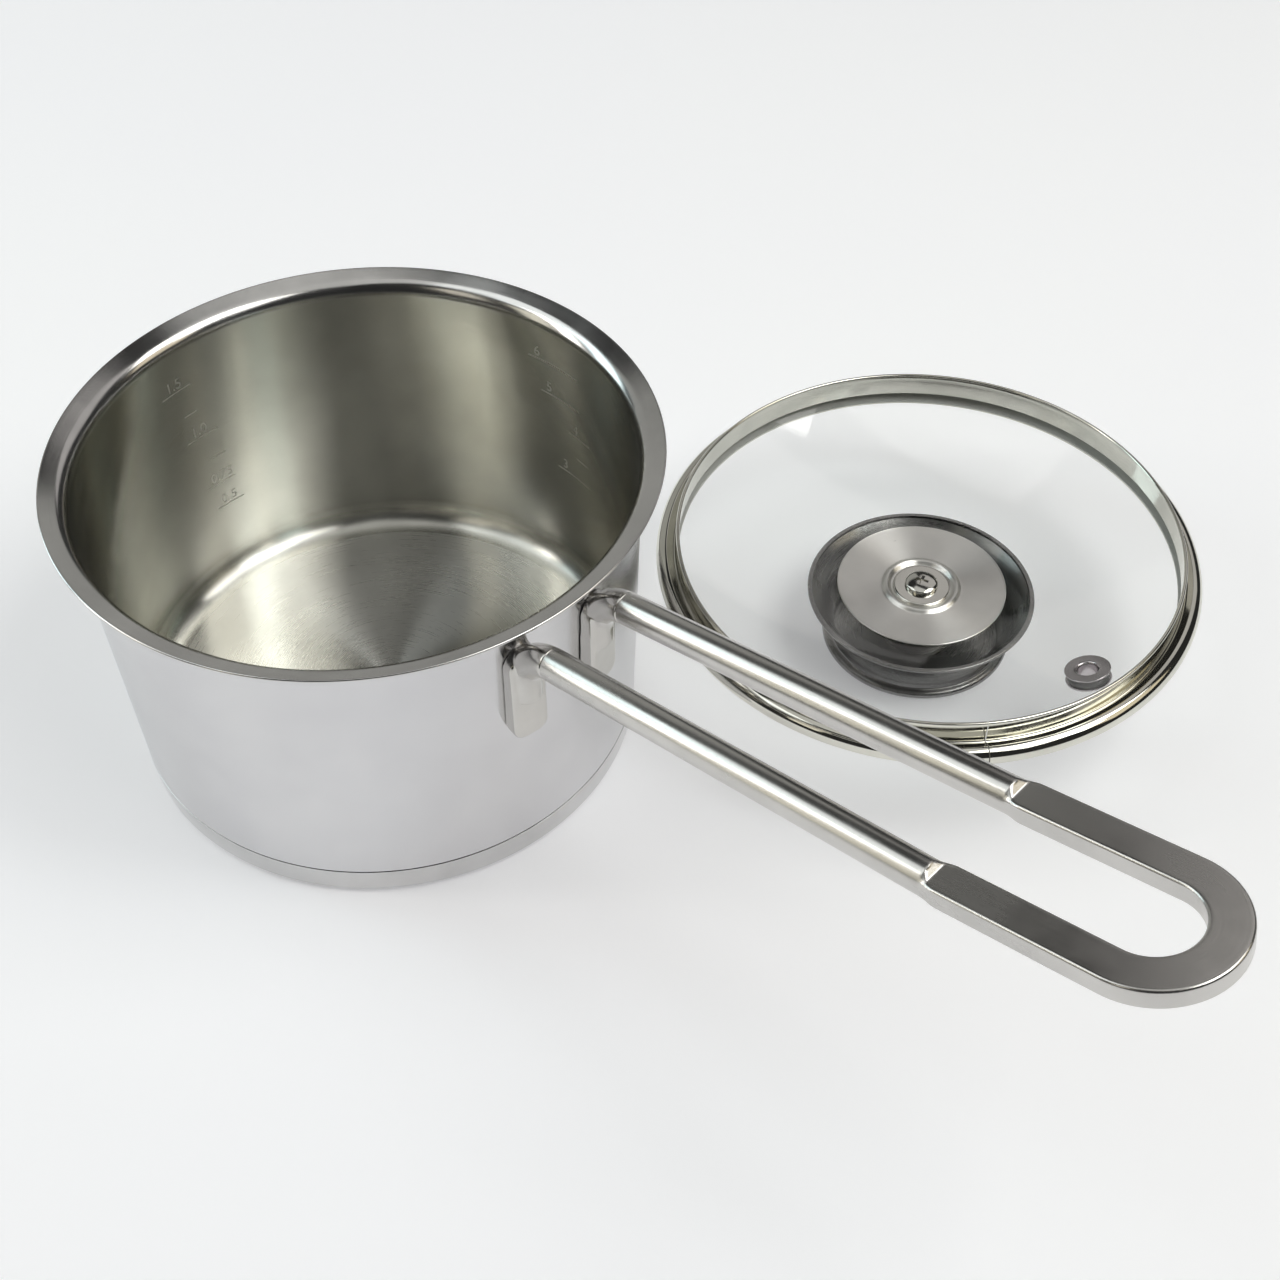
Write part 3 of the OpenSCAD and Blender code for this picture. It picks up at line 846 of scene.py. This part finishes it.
@dataclass
class Handle:
    """The wire-frame handle and its two brackets.

    Attributes:
        pan: The pan it is welded to.
        rod_d: Diameter of the rods.
        root_z: Height of the rods' axis at the radius of the rim's edge.
        rise: Upward slope in degrees.
        root_half: Half the distance between the rods at their roots.
        loop_half: The same at the loop end.
        loop_s: Distance from the pan's axis to the centre of the end bend.
        flat_rise: How much more the flat part rises than the rods, in degrees.
        flat_len: Length of the straight flat part.
        flat_w: Width of the flat bar.
        flat_t: Thickness of the flat bar.
        edge_r: Rounding of its edges.
        elbow_r: Bend radius of the bracket's elbow.
        pad_w: Width of the weld pad.
        pad_t: Thickness of the weld pad.
        pad_low: Height of its lower end.
        pad_top: Height of its upper end.
        pad_corner: Radius of its lower corners.
        weld: Thickness of the weld between pad and wall.
        bar: Finish of the bar.
        forged: Finish of the brackets.
    """

    pan: Pan
    rod_d: float = 9.0
    root_z: float = 93.4
    rise: float = 10.5
    root_half: float = 13.8
    loop_half: float = 15.5
    loop_s: float = 259.5
    flat_rise: float = 2.5
    flat_len: float = 44.5
    flat_w: float = 9.5
    flat_t: float = 5.5
    edge_r: float = 0.8
    elbow_r: float = 14.0
    pad_w: float = 10.9
    pad_t: float = 4.7
    pad_low: float = 60.0
    pad_top: float = 91.5
    pad_corner: float = 3.5
    weld: float = 0.06
    bar: Metal = Metal("steel_bar", (0.64, 0.625, 0.60), 0.22, Grain.ALONG, 0.35, 0.35, 0.25, 1500.0)
    forged: Metal = Metal("steel_forged", (0.62, 0.605, 0.575), 0.13, patches=0.5, brush=0.3, lines=500.0)

    def __post_init__(self) -> None:
        """Works out where the rods start."""
        t = math.radians(self.rise)
        self.pad_mid_r = self.pan.wall((self.pad_low + self.pad_top) / 2) + self.pad_t / 2
        self.pad_dir = math.degrees(math.asin(self.root_half / self.pad_mid_r))
        mid_x = self.pad_mid_r * math.cos(math.radians(self.pad_dir))
        level = (mid_x - self.elbow_r * (1 - math.sin(t)) * math.sin(t)) / math.cos(t)
        self.root_s = level + self.elbow_r * math.cos(t)
        self.plane_z = self.root_z - (self.pan.mouth_r + self.pan.sheet + self.pan.reach) * math.sin(t)
        self.flat_s = self.loop_s - self.flat_len
        self.toe = math.atan((self.loop_half - self.root_half) / (self.flat_s - self.root_s))

    def lift(self, s: float, y: float, z: float) -> Vector:
        """Takes a point of the handle's plane into the frame.

        Args:
            s: Distance along the handle in mm.
            y: Sideways offset in mm.
            z: Height square to the plane in mm.

        Returns:
            The point in metres.
        """
        t = math.radians(self.rise)
        if s > self.flat_s:
            b, run = math.radians(self.flat_rise), s - self.flat_s
            s, z = self.flat_s + run * math.cos(b) - z * math.sin(b), run * math.sin(b) + z * math.cos(b)
        reach = s * math.cos(t) - z * math.sin(t)
        height = self.plane_z + s * math.sin(t) + z * math.cos(t)
        return Vector((reach, y, height)) * MM

    def _sections(self) -> list[tuple[Point, Point]]:
        """Gives matching points of the round and of the flat section.

        Returns:
            Pairs of (round, flat) points, going around once.
        """
        w, h, r = self.flat_w / 2, self.flat_t / 2, self.edge_r
        ring: list[Point] = []
        corners = [(w - r, h - r, 0), (r - w, h - r, 90), (r - w, r - h, 180), (w - r, r - h, 270)]
        for i, (x, y, a) in enumerate(corners):
            ring += arc(x, y, r, a, a + 90, 6)
            nx, ny, na = corners[(i + 1) % 4]
            end = (nx + r * math.cos(math.radians(na)), ny + r * math.sin(math.radians(na)))
            ring += line(ring[-1], end, 16 if i % 2 == 0 else 8)[1:-1]
        rod = self.rod_d / 2
        pairs = []
        for y, z in ring:
            a = math.atan2(z, y)
            pairs.append(((rod * math.cos(a), rod * math.sin(a)), (y, z)))
        return pairs

    def _stations(self) -> list[tuple[float, float, float, float]]:
        """Gives the path of one leg, with close stations where the rod turns into the flat bar.

        Returns:
            s, y, heading in radians and how far past the step it is, in mm, for each station.
        """
        end, before, close = self.flat_s, 3, 0.25
        after = close * 39 - before
        marks = [self.root_s + (end - before - self.root_s) * i / 40 for i in range(41)]
        marks += [end - before + close * i for i in range(1, 40)]
        marks += [end + after + (self.loop_s - end - after) * i / 14 for i in range(1, 15)]
        leg = []
        for s in marks:
            share = (s - self.root_s) / (end - self.root_s)
            y = self.root_half + (self.loop_half - self.root_half) * min(share, 1.0)
            heading = self.toe * (1 - smooth((s - end + 2) / 4))
            leg.append((s, y, heading, s - end))
        return leg

    def build_bar(self, material: Material) -> None:
        """Sweeps the rods and the loop as one bar.

        Args:
            material: The bar's finish.
        """
        pairs, leg = self._sections(), self._stations()
        turns = [math.pi * i / 48 for i in range(1, 48)]
        bend = [(self.loop_half * math.sin(a), self.loop_half * math.cos(a), -a) for a in turns]
        path = leg + [(self.loop_s + out, y, heading, self.flat_len) for out, y, heading in bend]
        path += [(s, -y, math.pi - h, d) for s, y, h, d in reversed(leg)]
        tall, flat = self.rod_d / 2 + 0.02, self.flat_t / 2
        sections = []
        for s, y, heading, past in path:
            blend = smooth((past + 0.6) / 5.0)
            limit = tall - (tall - flat) * min(max((past + 0.2) / 1.8, 0.0), 1.0)
            across = Vector((-math.sin(heading), math.cos(heading)))
            ring = []
            for (ry, rz), (fy, fz) in pairs:
                py, pz = ry + (fy - ry) * blend, rz + (fz - rz) * blend
                pz = max(-limit, min(limit, pz))
                ring.append(self.lift(s + across.x * py, y + across.y * py, pz))
            sections.append(ring)
        bar = Sweep("handle_loop", sections, material).build()
        place(bar, "pan", "handle_steel", "handle_bar")

    def build_bracket(self, side: int, material: Material) -> None:
        """Makes one forged bracket: an elbow that runs down into a weld pad.

        Args:
            side: 1 on the +Y side, -1 on the other.
            material: The forging's finish.
        """
        t = math.radians(self.rise)
        heading = side * self.toe
        rod, around, bends = self.rod_d / 2, 48, 24
        along = Vector((math.cos(heading), math.sin(heading)))
        sections = []
        for i in range(bends + 1):
            a = math.pi / 2 + (math.pi / 2 - t) * i / bends
            cx, cz = self.elbow_r * math.cos(a), self.elbow_r * math.sin(a) - self.elbow_r
            ring = []
            for j in range(around):
                b = 2 * math.pi * j / around
                out, side_off = rod * math.cos(b), rod * math.sin(b)
                px, pz = cx + out * math.cos(a), cz + out * math.sin(a)
                ring.append(self.lift(self.root_s + px * along.x - side_off * along.y,
                                      side * self.root_half + px * along.y + side_off * along.x, pz))
            sections.append(ring)
        down = sections[-1]
        for drop in (1.0, 3.0, 6.0):
            sections.append([p - Vector((0, 0, drop * MM)) for p in down])
        bm = bmesh.new()
        tube(bm, [[bm.verts.new(p) for p in ring] for ring in sections])
        self._pad(bm, side)
        node = "bracket_left" if side > 0 else "bracket_right"
        obj = new_object(node + "_forging", bm, [material], weighted=False)
        self._fuse(obj)
        place(obj, "pan", "bracket_steel", node)

    def _pad(self, bm: Mesh, side: int) -> None:
        """Adds the weld pad.

        Args:
            bm: Mesh that receives it.
            side: 1 on the +Y side, -1 on the other.
        """
        w, r, low, top = self.pad_w / 2, self.pad_corner, self.pad_low, self.pad_top
        outline = (arc(w - r, low + r, r, -90, 0, 10) + arc(0, top - w, w, 0, 180, 32)
                   + arc(r - w, low + r, r, 180, 270, 10))
        front, back, bevel = self.pad_t / 2, -self.pad_t / 2, 0.9
        levels = [(back, 0.0), (front - bevel, 0.0), (front - bevel * 0.3, bevel * 0.3), (front, bevel)]
        turn = Matrix.Rotation(math.radians(side * self.pad_dir), 3, "Z")
        middle = (low + top) / 2
        rings = []
        for depth, inset in levels:
            ring = []
            for y, z in outline:
                y2, z2 = y * (1 - inset / w), z - (z - middle) / math.hypot(y, z - middle) * inset
                base = self.pan.wall(z2) + self.weld + self.pad_t / 2 if depth < 0 else self.pad_mid_r
                ring.append(bm.verts.new(turn @ (Vector((base + depth, y2, z2)) * MM)))
            rings.append(ring)
        tube(bm, rings)

    def _fuse(self, obj: Object) -> None:
        """Melts the bracket's solids into one smooth forging and cuts its back to the wall.

        Args:
            obj: The bracket, whose mesh is replaced.
        """
        remesh = obj.modifiers.new("fuse", "REMESH")
        remesh.mode = "VOXEL"
        remesh.voxel_size = 0.3 * MM
        soften = obj.modifiers.new("soften", "SMOOTH")
        soften.factor, soften.iterations = 0.5, 12
        graph = bpy.context.evaluated_depsgraph_get()
        mesh = bpy.data.meshes.new_from_object(obj.evaluated_get(graph))
        obj.modifiers.clear()
        obj.data = mesh
        for vertex in mesh.vertices:
            z = vertex.co.z / MM
            limit = (self.pan.wall(min(z, self.pan.bend_z)) + self.weld) * MM
            reach = math.hypot(vertex.co.x, vertex.co.y)
            if reach < limit:
                vertex.co.x *= limit / reach
                vertex.co.y *= limit / reach
        mesh.shade_smooth()

    def build(self) -> None:
        """Makes the bar and both brackets."""
        self.build_bar(self.bar.build())
        forged = self.forged.build()
        for side in (1, -1):
            self.build_bracket(side, forged)
        LOG.info("handle: bar and two brackets")


# ---- the lid


@dataclass
class Lid:
    """The glass lid, which lies on its knob.

    Attributes:
        skirt_r: Outer radius of the skirt.
        dome_r: Radius of the glass's outer surface.
        glass_t: Thickness of the glass.
        apex: Height of the glass's outer surface above the knob's face.
        edge_out: From the skirt to the middle of the glass's rounded edge.
        nose: Reach of that rounded edge.
        skirt_h: Height of the skirt above the flange.
        vent_r: Distance of the vent from the axis.
        vent_dir: Direction of the vent in degrees.
        butt_dir: Direction of the band's butt joint in degrees.
        hole_r: Radius of the glass's screw hole.
        band_t: Thickness of the band, and of the packing under it.
        disc_r: Radius of the backing disc.
        disc_t: Thickness of the backing disc.
        bore_r: Radius of the screw hole in disc and washer.
        washer_t: Thickness of the screw's washer.
        glass: Finish of the glass.
        band: Finish of the rolled band.
        knob: Finish of the knob's side, with its colour darkened as painted shade.
        cup_painted_shade: Finish of the knob's inside, with its colour darkened as painted shade.
        face: Finish of the face that the lid stands on.
        disc: Finish of the backing disc.
        bright: Finish of the screw and its washer.
        eyelet: Finish of the vent.
    """

    skirt_r: float = 78.9
    dome_r: float = 200.0
    glass_t: float = 4.0
    apex: float = 18.9
    edge_out: float = 2.9
    nose: float = 2.3
    skirt_h: float = 7.5
    vent_r: float = 63.7
    vent_dir: float = -1.9
    butt_dir: float = -40.5
    hole_r: float = 4.0
    band_t: float = 0.5
    disc_r: float = 26.9
    disc_t: float = 0.6
    bore_r: float = 2.8
    washer_t: float = 0.7
    glass: Glass = Glass("clear_glass")
    band: Metal = Metal("steel_band", (0.74, 0.73, 0.66), 0.08, Grain.AROUND, 0.15, 0.3, 0.6, 1800.0)
    # The knob's side and inside take a steel colour darkened to paint in the shade in and around the knob.
    knob: Metal = Metal("steel_knob", (0.33, 0.325, 0.32), 0.20, Grain.AROUND, 0.4, 0.6, 0.3, 2200.0)
    cup_painted_shade: Metal = Metal("steel_knob_inside_painted_shade", (0.31, 0.31, 0.30), 0.26, Grain.AROUND, 0.4, 0.6, 0.2, 2200.0)
    face: Metal = Metal("steel_knob_face", (0.62, 0.61, 0.59), 0.27, Grain.AROUND, 0.9, 0.8, 0.2, 2200.0)
    disc: Metal = Metal("steel_disc", (0.93, 0.92, 0.88), 0.29, Grain.AROUND, 0.12, 0.92, 0.06, 3000.0)
    bright: Metal = Metal("steel_screw", (0.74, 0.73, 0.68), 0.12, patches=0.5, brush=0.3, lines=900.0)
    eyelet: Metal = Metal("steel_eyelet", (0.56, 0.53, 0.54), 0.18, patches=0.4, brush=0.4, lines=1400.0)

    def __post_init__(self) -> None:
        """Finds the lid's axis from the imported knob."""
        low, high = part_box("knob_shell")
        self.at = ((low.x + high.x) / 2, (low.y + high.y) / 2, 0.0)
        self.edge_c = self.skirt_r + self.edge_out
        self.centre = self.apex + self.dome_r

    def low(self, r: float, off: float = 0.0) -> float:
        """Gives the height of the glass's outer surface at radius r, moved out by off, in mm."""
        return self.centre - math.sqrt((self.dome_r + off) ** 2 - r * r)

    def up(self, r: float, off: float = 0.0) -> float:
        """Gives the height of the glass's inner surface at radius r, moved out by off, in mm."""
        return self.centre - math.sqrt((self.dome_r - self.glass_t - off) ** 2 - r * r)

    def edge(self, off: float, start: float, stop: float, n: int) -> list[Point]:
        """Gives the outline of the glass's edge.

        Args:
            off: How far it is moved out, in mm.
            start: Radius where it starts on the outer face.
            stop: Radius where it ends on the inner face.
            n: Steps of each face.

        Returns:
            Points from the outer face around the edge to the inner face.
        """
        c = self.edge_c
        mid = (self.low(c, off) + self.up(c, off)) / 2
        half = (self.up(c, off) - self.low(c, off)) / 2
        outer = [(r, self.low(r, off)) for r in (start + (c - start) * i / n for i in range(n + 1))]
        inner = [(r, self.up(r, off)) for r in (c + (stop - c) * i / n for i in range(n + 1))]
        return outer + arc(c, mid, self.nose + off, -90, 90, 20, half)[1:-1] + inner

    def at_vent(self) -> Matrix:
        """Gives the placing of a piece that stands square on the glass at the vent."""
        tilt = math.asin(self.vent_r / (self.dome_r - self.glass_t / 2))
        return (Matrix.Translation(self.at) @ Matrix.Rotation(math.radians(self.vent_dir), 4, "Z")
                @ Matrix.Translation((0, 0, self.centre * MM)) @ Matrix.Rotation(-tilt, 4, "Y")
                @ Matrix.Translation((0, 0, (self.glass_t / 2 - self.dome_r) * MM)))

    def build_glass(self) -> None:
        """Makes the domed glass with its two holes."""
        spans = [Span(self.edge(0.0, self.hole_r, self.hole_r, 60))]
        glass = Lathe("glass_dome", spans, [self.glass.build()], 288).build()
        glass.location = self.at
        bpy.context.view_layer.update()
        drill_r, deep = 4.1, 8
        outline = [(0, -deep), (drill_r, -deep), (drill_r, deep), (0, deep)]
        drill = Lathe("drill", [Span(outline)], [], 64).build()
        drill.matrix_world = self.at_vent()
        cut(glass, drill)
        place(glass, "lid", "clear_glass", "lid_glass")

    def build_band(self) -> None:
        """Makes the rolled band with its skirt and its butt joint."""
        r, t, hem, bend = self.skirt_r, self.band_t, 0.6, 0.8
        foot = self.up(r, 2 * t)
        top = foot + self.skirt_h
        spans = [
            Span(self.edge(t, r, r - t, 8)),
            Span(line((r - t, foot + 0.5), (r - t, top - 2.0), 4)
                 + [(r - t - 0.1, top - 1.7), (r - 2 * hem, top - 1.3)]
                 + arc(r - hem, top - hem, hem, 180, 0, 14)),
            Span(line((r, top - hem - 0.5), (r, foot + bend + 0.2), 6)
                 + arc(r + bend, foot + bend, bend, 180, 255, 8)),
            Span(list(reversed(self.edge(2 * t, r, r + bend + 0.3, 8)))),
        ]
        band = Lathe("rim_band", spans, [self.band.build()], 288, 0.24, self.butt_dir).build()
        place(band, "lid", "band_steel", "lid_band", at=self.at)

    def build_vent(self) -> None:
        """Makes the steam vent's eyelet and its outer ring."""
        face, wall, bore, t = self.glass_t / 2 + 0.2, 3.7, 3.1, 0.6
        low, swage, flange, curl, washer = -face - 0.5, 5.2, 6.6, 0.9, 6.9
        material = self.eyelet.build()
        eyelet = ([(bore, low - 2 * t), (swage, low - 2 * t)] + arc(swage, low - 1.5 * t, t / 2, -90, 90, 6)
                  + [(wall, low - t), (wall, face), (flange, face)]
                  + arc(flange, face + t / 2, t / 2, -90, 90, 8)
                  + [(bore + 1.1, face + t)] + arc(bore + curl, face + t - curl, curl, 90, 180, 10))
        ring = [(wall + 0.05, low - t), (washer, low - t), (washer + 0.1, low - t / 2), (washer, low),
                (wall + 0.05, low)]
        for name, outline, node in (("vent_tube", eyelet, "vent_eyelet"), ("vent_washer", ring, "vent_ring")):
            piece = Lathe(name, [Span(outline)], [material], 96).build()
            piece.matrix_world = self.at_vent()
            place(piece, "lid", "vent_steel", node)

    def build_knob(self) -> None:
        """Makes the hollow flared knob."""
        top_r, neck_r, brim_r, h, t, bead = 30.7, 28.2, 36.6, 21.0, 1.0, 3.0
        foot = neck_r - t - 1.0

        def wall(off: float) -> list[Point]:
            """Gives the flared side moved in by off, in mm."""
            rise, flare = h - bead - 2 * t, brim_r - neck_r - t / 2
            steps = [i / 30 for i in range(31)]
            return [(neck_r - off + flare * x ** 2.2, bead + t + rise * x) for x in steps]

        dimple = [(0, 0.35)] + line((3.5, 0.35), (4.2, 0.0), 2)
        spans = [
            Span(dimple + line((4.2, 0), (top_r - bead / 2, 0), 24)[1:-1], 1),
            Span(arc(top_r - bead / 2, bead / 2, bead / 2, -90, 80, 20)
                 + arc(neck_r + 1.1, bead + 1.0, 1.0, 250, 180, 8) + wall(0)[1:]
                 + arc(brim_r - t / 2, h - t / 2, t / 2, -90, 90, 12)[1:] + [(brim_r - t * 1.5, h)]),
            Span(list(reversed(wall(t))) + [(neck_r - t, t + 1.0)] + arc(foot, t + 1.0, 1.0, 0, -90, 8)[1:]
                 + line((foot, t), (0, t), 8)[1:], 2),
        ]
        knob = Lathe("knob_cup", spans, [self.knob.build(), self.face.build(), self.cup_painted_shade.build()], 256).build()
        place(knob, "lid", "knob_steel", "knob_shell", at=self.at)

    def build_disc(self) -> None:
        """Makes the dished backing disc with its raised ring, the washer and the screw."""
        r, t, hole = self.disc_r, self.disc_t, self.bore_r
        disc_z = self.up(8.0) + 0.05 + 0.6
        rim_z = self.up(r) + 0.15
        trough = max(disc_z, rim_z - 1.0)
        flat_r, ring_r, ring_half, ring_h = 8.6, 11.2, 1.6, 0.9

        def skin(off: float) -> list[Point]:
            """Gives the disc's section.

            Args:
                off: How far it is moved up, in mm.

            Returns:
                Points from the screw hole outwards.
            """
            rows = [(hole, disc_z + off), (flat_r, disc_z + off)]
            for x in (i / 24 for i in range(25)):
                bump = ring_h * math.sin(math.pi * x) ** 1.5
                out = ring_r - ring_half + 2 * ring_half * x
                rows.append((out, disc_z + off + bump + (trough - disc_z) * x))
            for x in (i / 40 for i in range(1, 41)):
                out = ring_r + ring_half + (r - ring_r - ring_half) * x
                rows.append((out, trough + off + (rim_z - trough) * x ** 1.25))
            return rows

        lower, upper = skin(0.0), skin(t)
        rim = arc(r - t / 2, rim_z + t / 2, t / 2, -90, 90, 10)
        outline = lower[:-1] + rim + list(reversed(upper[:-1]))
        disc = Lathe("backing_plate", [Span(outline)], [self.disc.build()], 256).build()
        place(disc, "lid", "disc_steel", "backing_disc", at=self.at)
        bright = self.bright.build()
        z, edge = disc_z + t, 9.0
        top = z + self.washer_t
        outline = [(hole, z), (edge, z), (edge, top - 0.25), (edge - 0.2, top - 0.05),
                   (edge - 0.6, top), (hole, top)]
        washer = Lathe("screw_collar", [Span(outline)], [bright], 128).build()
        place(washer, "lid", "screw_steel", "screw_washer", at=self.at)
        self.build_screw(bright, top)

    def build_screw(self, material: Material, z: float) -> None:
        """Makes the screw with its cross recess and thread.

        Args:
            material: Its finish.
            z: Height of the head's underside in mm.
        """
        head, h, shank, length, pitch, crest = 5.2, 2.2, 2.2, 18.0, 0.8, 0.22
        rows: list[Point] = [(0, z - length), (shank - 0.6, z - length), (shank, z - length + pitch)]
        for i in range(int((length - 2.0) / pitch)):
            base = z - length + pitch + pitch * i
            rows += [(shank, base), (shank + crest, base + 0.35), (shank + crest, base + 0.42),
                     (shank, base + 0.78)]
        belt = z + h * 0.4
        rows += [(shank, z), (head - 0.15, z), (head, z + 0.15), (head, belt)]
        rows += arc(0, belt, head, 0, 90, 20, h * 0.6)[1:-1] + [(0, z + h)]
        screw = Lathe("cross_screw", [Span(rows)], [material], 96).build()
        screw.location = self.at
        bpy.context.view_layer.update()
        long, wide, deep = 6.0, 1.15, 2.6
        for turn in (20, 110):
            bm = bmesh.new()
            bmesh.ops.create_cube(bm, size=1.0)
            for v in bm.verts:
                narrow, thin = (1.0, 1.0) if v.co.z > 0 else (0.45, 0.7)
                v.co = Vector((v.co.x * long * narrow, v.co.y * wide * thin, v.co.z * deep)) * MM
            blade = new_object("blade", bm, [], weighted=False)
            blade.matrix_world = (Matrix.Translation(self.at) @ Matrix.Translation((0, 0, (z + h) * MM))
                                  @ Matrix.Rotation(math.radians(turn), 4, "Z"))
            cut(screw, blade)
        place(screw, "lid", "screw_steel", "knob_screw")

    def build(self) -> None:
        """Makes all the lid's pieces and dresses the hidden ones."""
        self.build_glass()
        self.build_band()
        self.build_vent()
        self.build_knob()
        self.build_disc()
        silicone = Soft("grey_silicone", (0.24, 0.24, 0.24), 0.5).build()
        for node in ("vent_gasket", "knob_gasket", "disc_seal"):
            dress(node, silicone)
        dress("band_liner", Soft("clear_liner", (0.55, 0.55, 0.52), 0.45).build())
        post = Metal("steel_post", (0.55, 0.54, 0.52), 0.3, Grain.AROUND, 0.6, 0.3, 0.3, 1500.0,
                     centre=self.at)
        dress("knob_post", post.build())
        LOG.info("lid: glass, band, vent, knob, disc and screw")


# ---- light, floor and camera


@dataclass(frozen=True)
class SoftBox:
    """A rectangular studio light that faces the object.

    Attributes:
        name: Name of the light.
        turn: Direction it stands in, in degrees from +X.
        height: Its elevation in degrees.
        size: Width and height in metres.
        radiance: Brightness of its face.
        colour: Its colour.
        reach: Its distance in metres.
        target: What it faces, in metres.
    """

    name: str
    turn: float
    height: float
    size: tuple[float, float]
    radiance: float
    colour: Colour = (1.0, 1.0, 1.0)
    reach: float = 1.7
    target: Place = (0.06, 0.04, 0.05)

    def build(self) -> None:
        """Makes the light and turns it to the object."""
        light = bpy.data.lights.new(self.name, "AREA")
        light.shape = "RECTANGLE"
        light.size, light.size_y = self.size
        light.energy, light.color = self.radiance * math.pi * self.size[0] * self.size[1], self.colour
        obj = bpy.data.objects.new(self.name, light)
        a, e = math.radians(self.turn), math.radians(self.height)
        away = Vector((math.cos(a) * math.cos(e), math.sin(a) * math.cos(e), math.sin(e)))
        obj.location = Vector(self.target) + away * self.reach
        obj.rotation_euler = away.to_track_quat("Z", "Y").to_euler()
        bpy.context.scene.collection.objects.link(obj)


@dataclass(frozen=True)
class Studio:
    """The floor, the lights and the camera.

    Attributes:
        eye: Camera position in metres.
        turn: Azimuth of the view in degrees; 0 looks along +Y.
        tilt: Elevation of the camera in degrees.
        roll: Roll of the camera in degrees.
        lens: Focal length on a 36 mm sensor.
        boxes: The studio lights.
    """

    eye: Place = (0.32589, -0.22395, 0.43646)
    turn: float = 43.92
    tilt: float = 46.74
    roll: float = -0.48
    lens: float = 50.98
    boxes: tuple[SoftBox, ...] = (
        SoftBox("window", 206, 23, (0.50, 1.35), 2.3, (0.80, 0.97, 1.0)),
        SoftBox("window_strip", 226, 25, (0.24, 1.30), 4.5, (1.0, 0.98, 0.93)),
        SoftBox("window_side", 241, 20, (0.36, 1.10), 0.9, (1.0, 0.96, 0.80)),
        SoftBox("window_sky", 217, 58, (1.0, 0.78), 1.25, (0.96, 1.0, 1.0)),
        SoftBox("key", 28, 58, (1.45, 0.78), 2.8, (1.0, 0.99, 0.96)),
        SoftBox("key_core", 26, 54, (0.28, 0.95), 3.4, (0.95, 1.0, 1.0)),
        SoftBox("warm_card", 38, 32, (0.76, 0.62), 0.85, (1.0, 0.88, 0.66)),
        SoftBox("side_fill", 100, 42, (1.10, 0.95), 0.48, (1.0, 0.97, 0.95)),
        SoftBox("back_fill", 160, 23, (1.9, 1.2), 0.33, (1.0, 1.0, 0.95)),
        SoftBox("far_side", 268, 36, (0.36, 0.8), 0.9, (1.0, 0.94, 0.80)),
        SoftBox("top", 0, 90, (1.3, 1.3), 0.58, (1.0, 1.0, 0.97)),
    )

    def build_camera(self) -> None:
        """Makes the camera and gives it to the scene."""
        a, e, r = (math.radians(v) for v in (self.turn, self.tilt, self.roll))
        back = Vector((math.sin(a) * math.cos(e), -math.cos(a) * math.cos(e), math.sin(e)))
        right = Vector((math.cos(a), math.sin(a), 0))
        up = back.cross(right)
        side = right * math.cos(r) + up * math.sin(r)
        top = up * math.cos(r) - right * math.sin(r)
        data = bpy.data.cameras.new("camera")
        data.lens, data.sensor_width = self.lens, 36.0
        data.clip_start, data.clip_end = 0.02, 20.0
        camera = bpy.data.objects.new("camera", data)
        camera.matrix_world = Matrix.Translation(self.eye) @ Matrix((side, top, back)).transposed().to_4x4()
        bpy.context.scene.collection.objects.link(camera)
        bpy.context.scene.camera = camera

    def build_floor(self) -> None:
        """Makes the table."""
        bm = bmesh.new()
        bmesh.ops.create_grid(bm, x_segments=8, y_segments=8, size=8.0)
        floor = new_object("table", bm, [Table().build()], weighted=False)
        floor.location = (0.08, 0.05, -0.0001)

    def build_world(self) -> None:
        """Makes the room: a pale backdrop that is seen, and a dim room that lights and reflects."""
        world = bpy.data.worlds.new("room")
        bpy.context.scene.world = world
        g = Graph(world)
        way = g.add("TexCoord", out="Generated")
        up = g.add("SeparateXYZ", {0: way}, out="Z")
        height = g.span(up, -0.1, 1.0, 0.0, 1.0)
        dim = g.mix(height, rgba((0.03, 0.03, 0.03)), rgba((0.02, 0.02, 0.02)))
        seen = g.add("LightPath", out="Is Camera Ray")
        colour = g.mix(seen, dim, rgba((0.62, 0.62, 0.63)))
        g.add("OutputWorld", {"Surface": g.add("Background", {"Color": colour, "Strength": 1.0})})

    def build(self) -> None:
        """Makes the whole set."""
        self.build_camera()
        self.build_floor()
        self.build_world()
        for box in self.boxes:
            box.build()
        scene = bpy.context.scene
        scene.view_settings.view_transform = "Standard"
        scene.view_settings.look = "None"
        LOG.info("studio: %d lights", len(self.boxes))


def corners(box: tuple) -> list[list[float]]:
    """Turns a box's two corners into plain lists of numbers."""
    return [[float(v) for v in corner] for corner in box]


def main() -> None:
    """Builds the studio, the pan, the handle and the lid, in that order."""
    logging.basicConfig(level=logging.INFO, format="%(message)s")
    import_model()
    Studio().build()
    pan = Pan()
    pan.build()
    Marks(pan).build()
    Handle(pan).build()
    Lid().build()


if __name__ == "__main__":
    main()
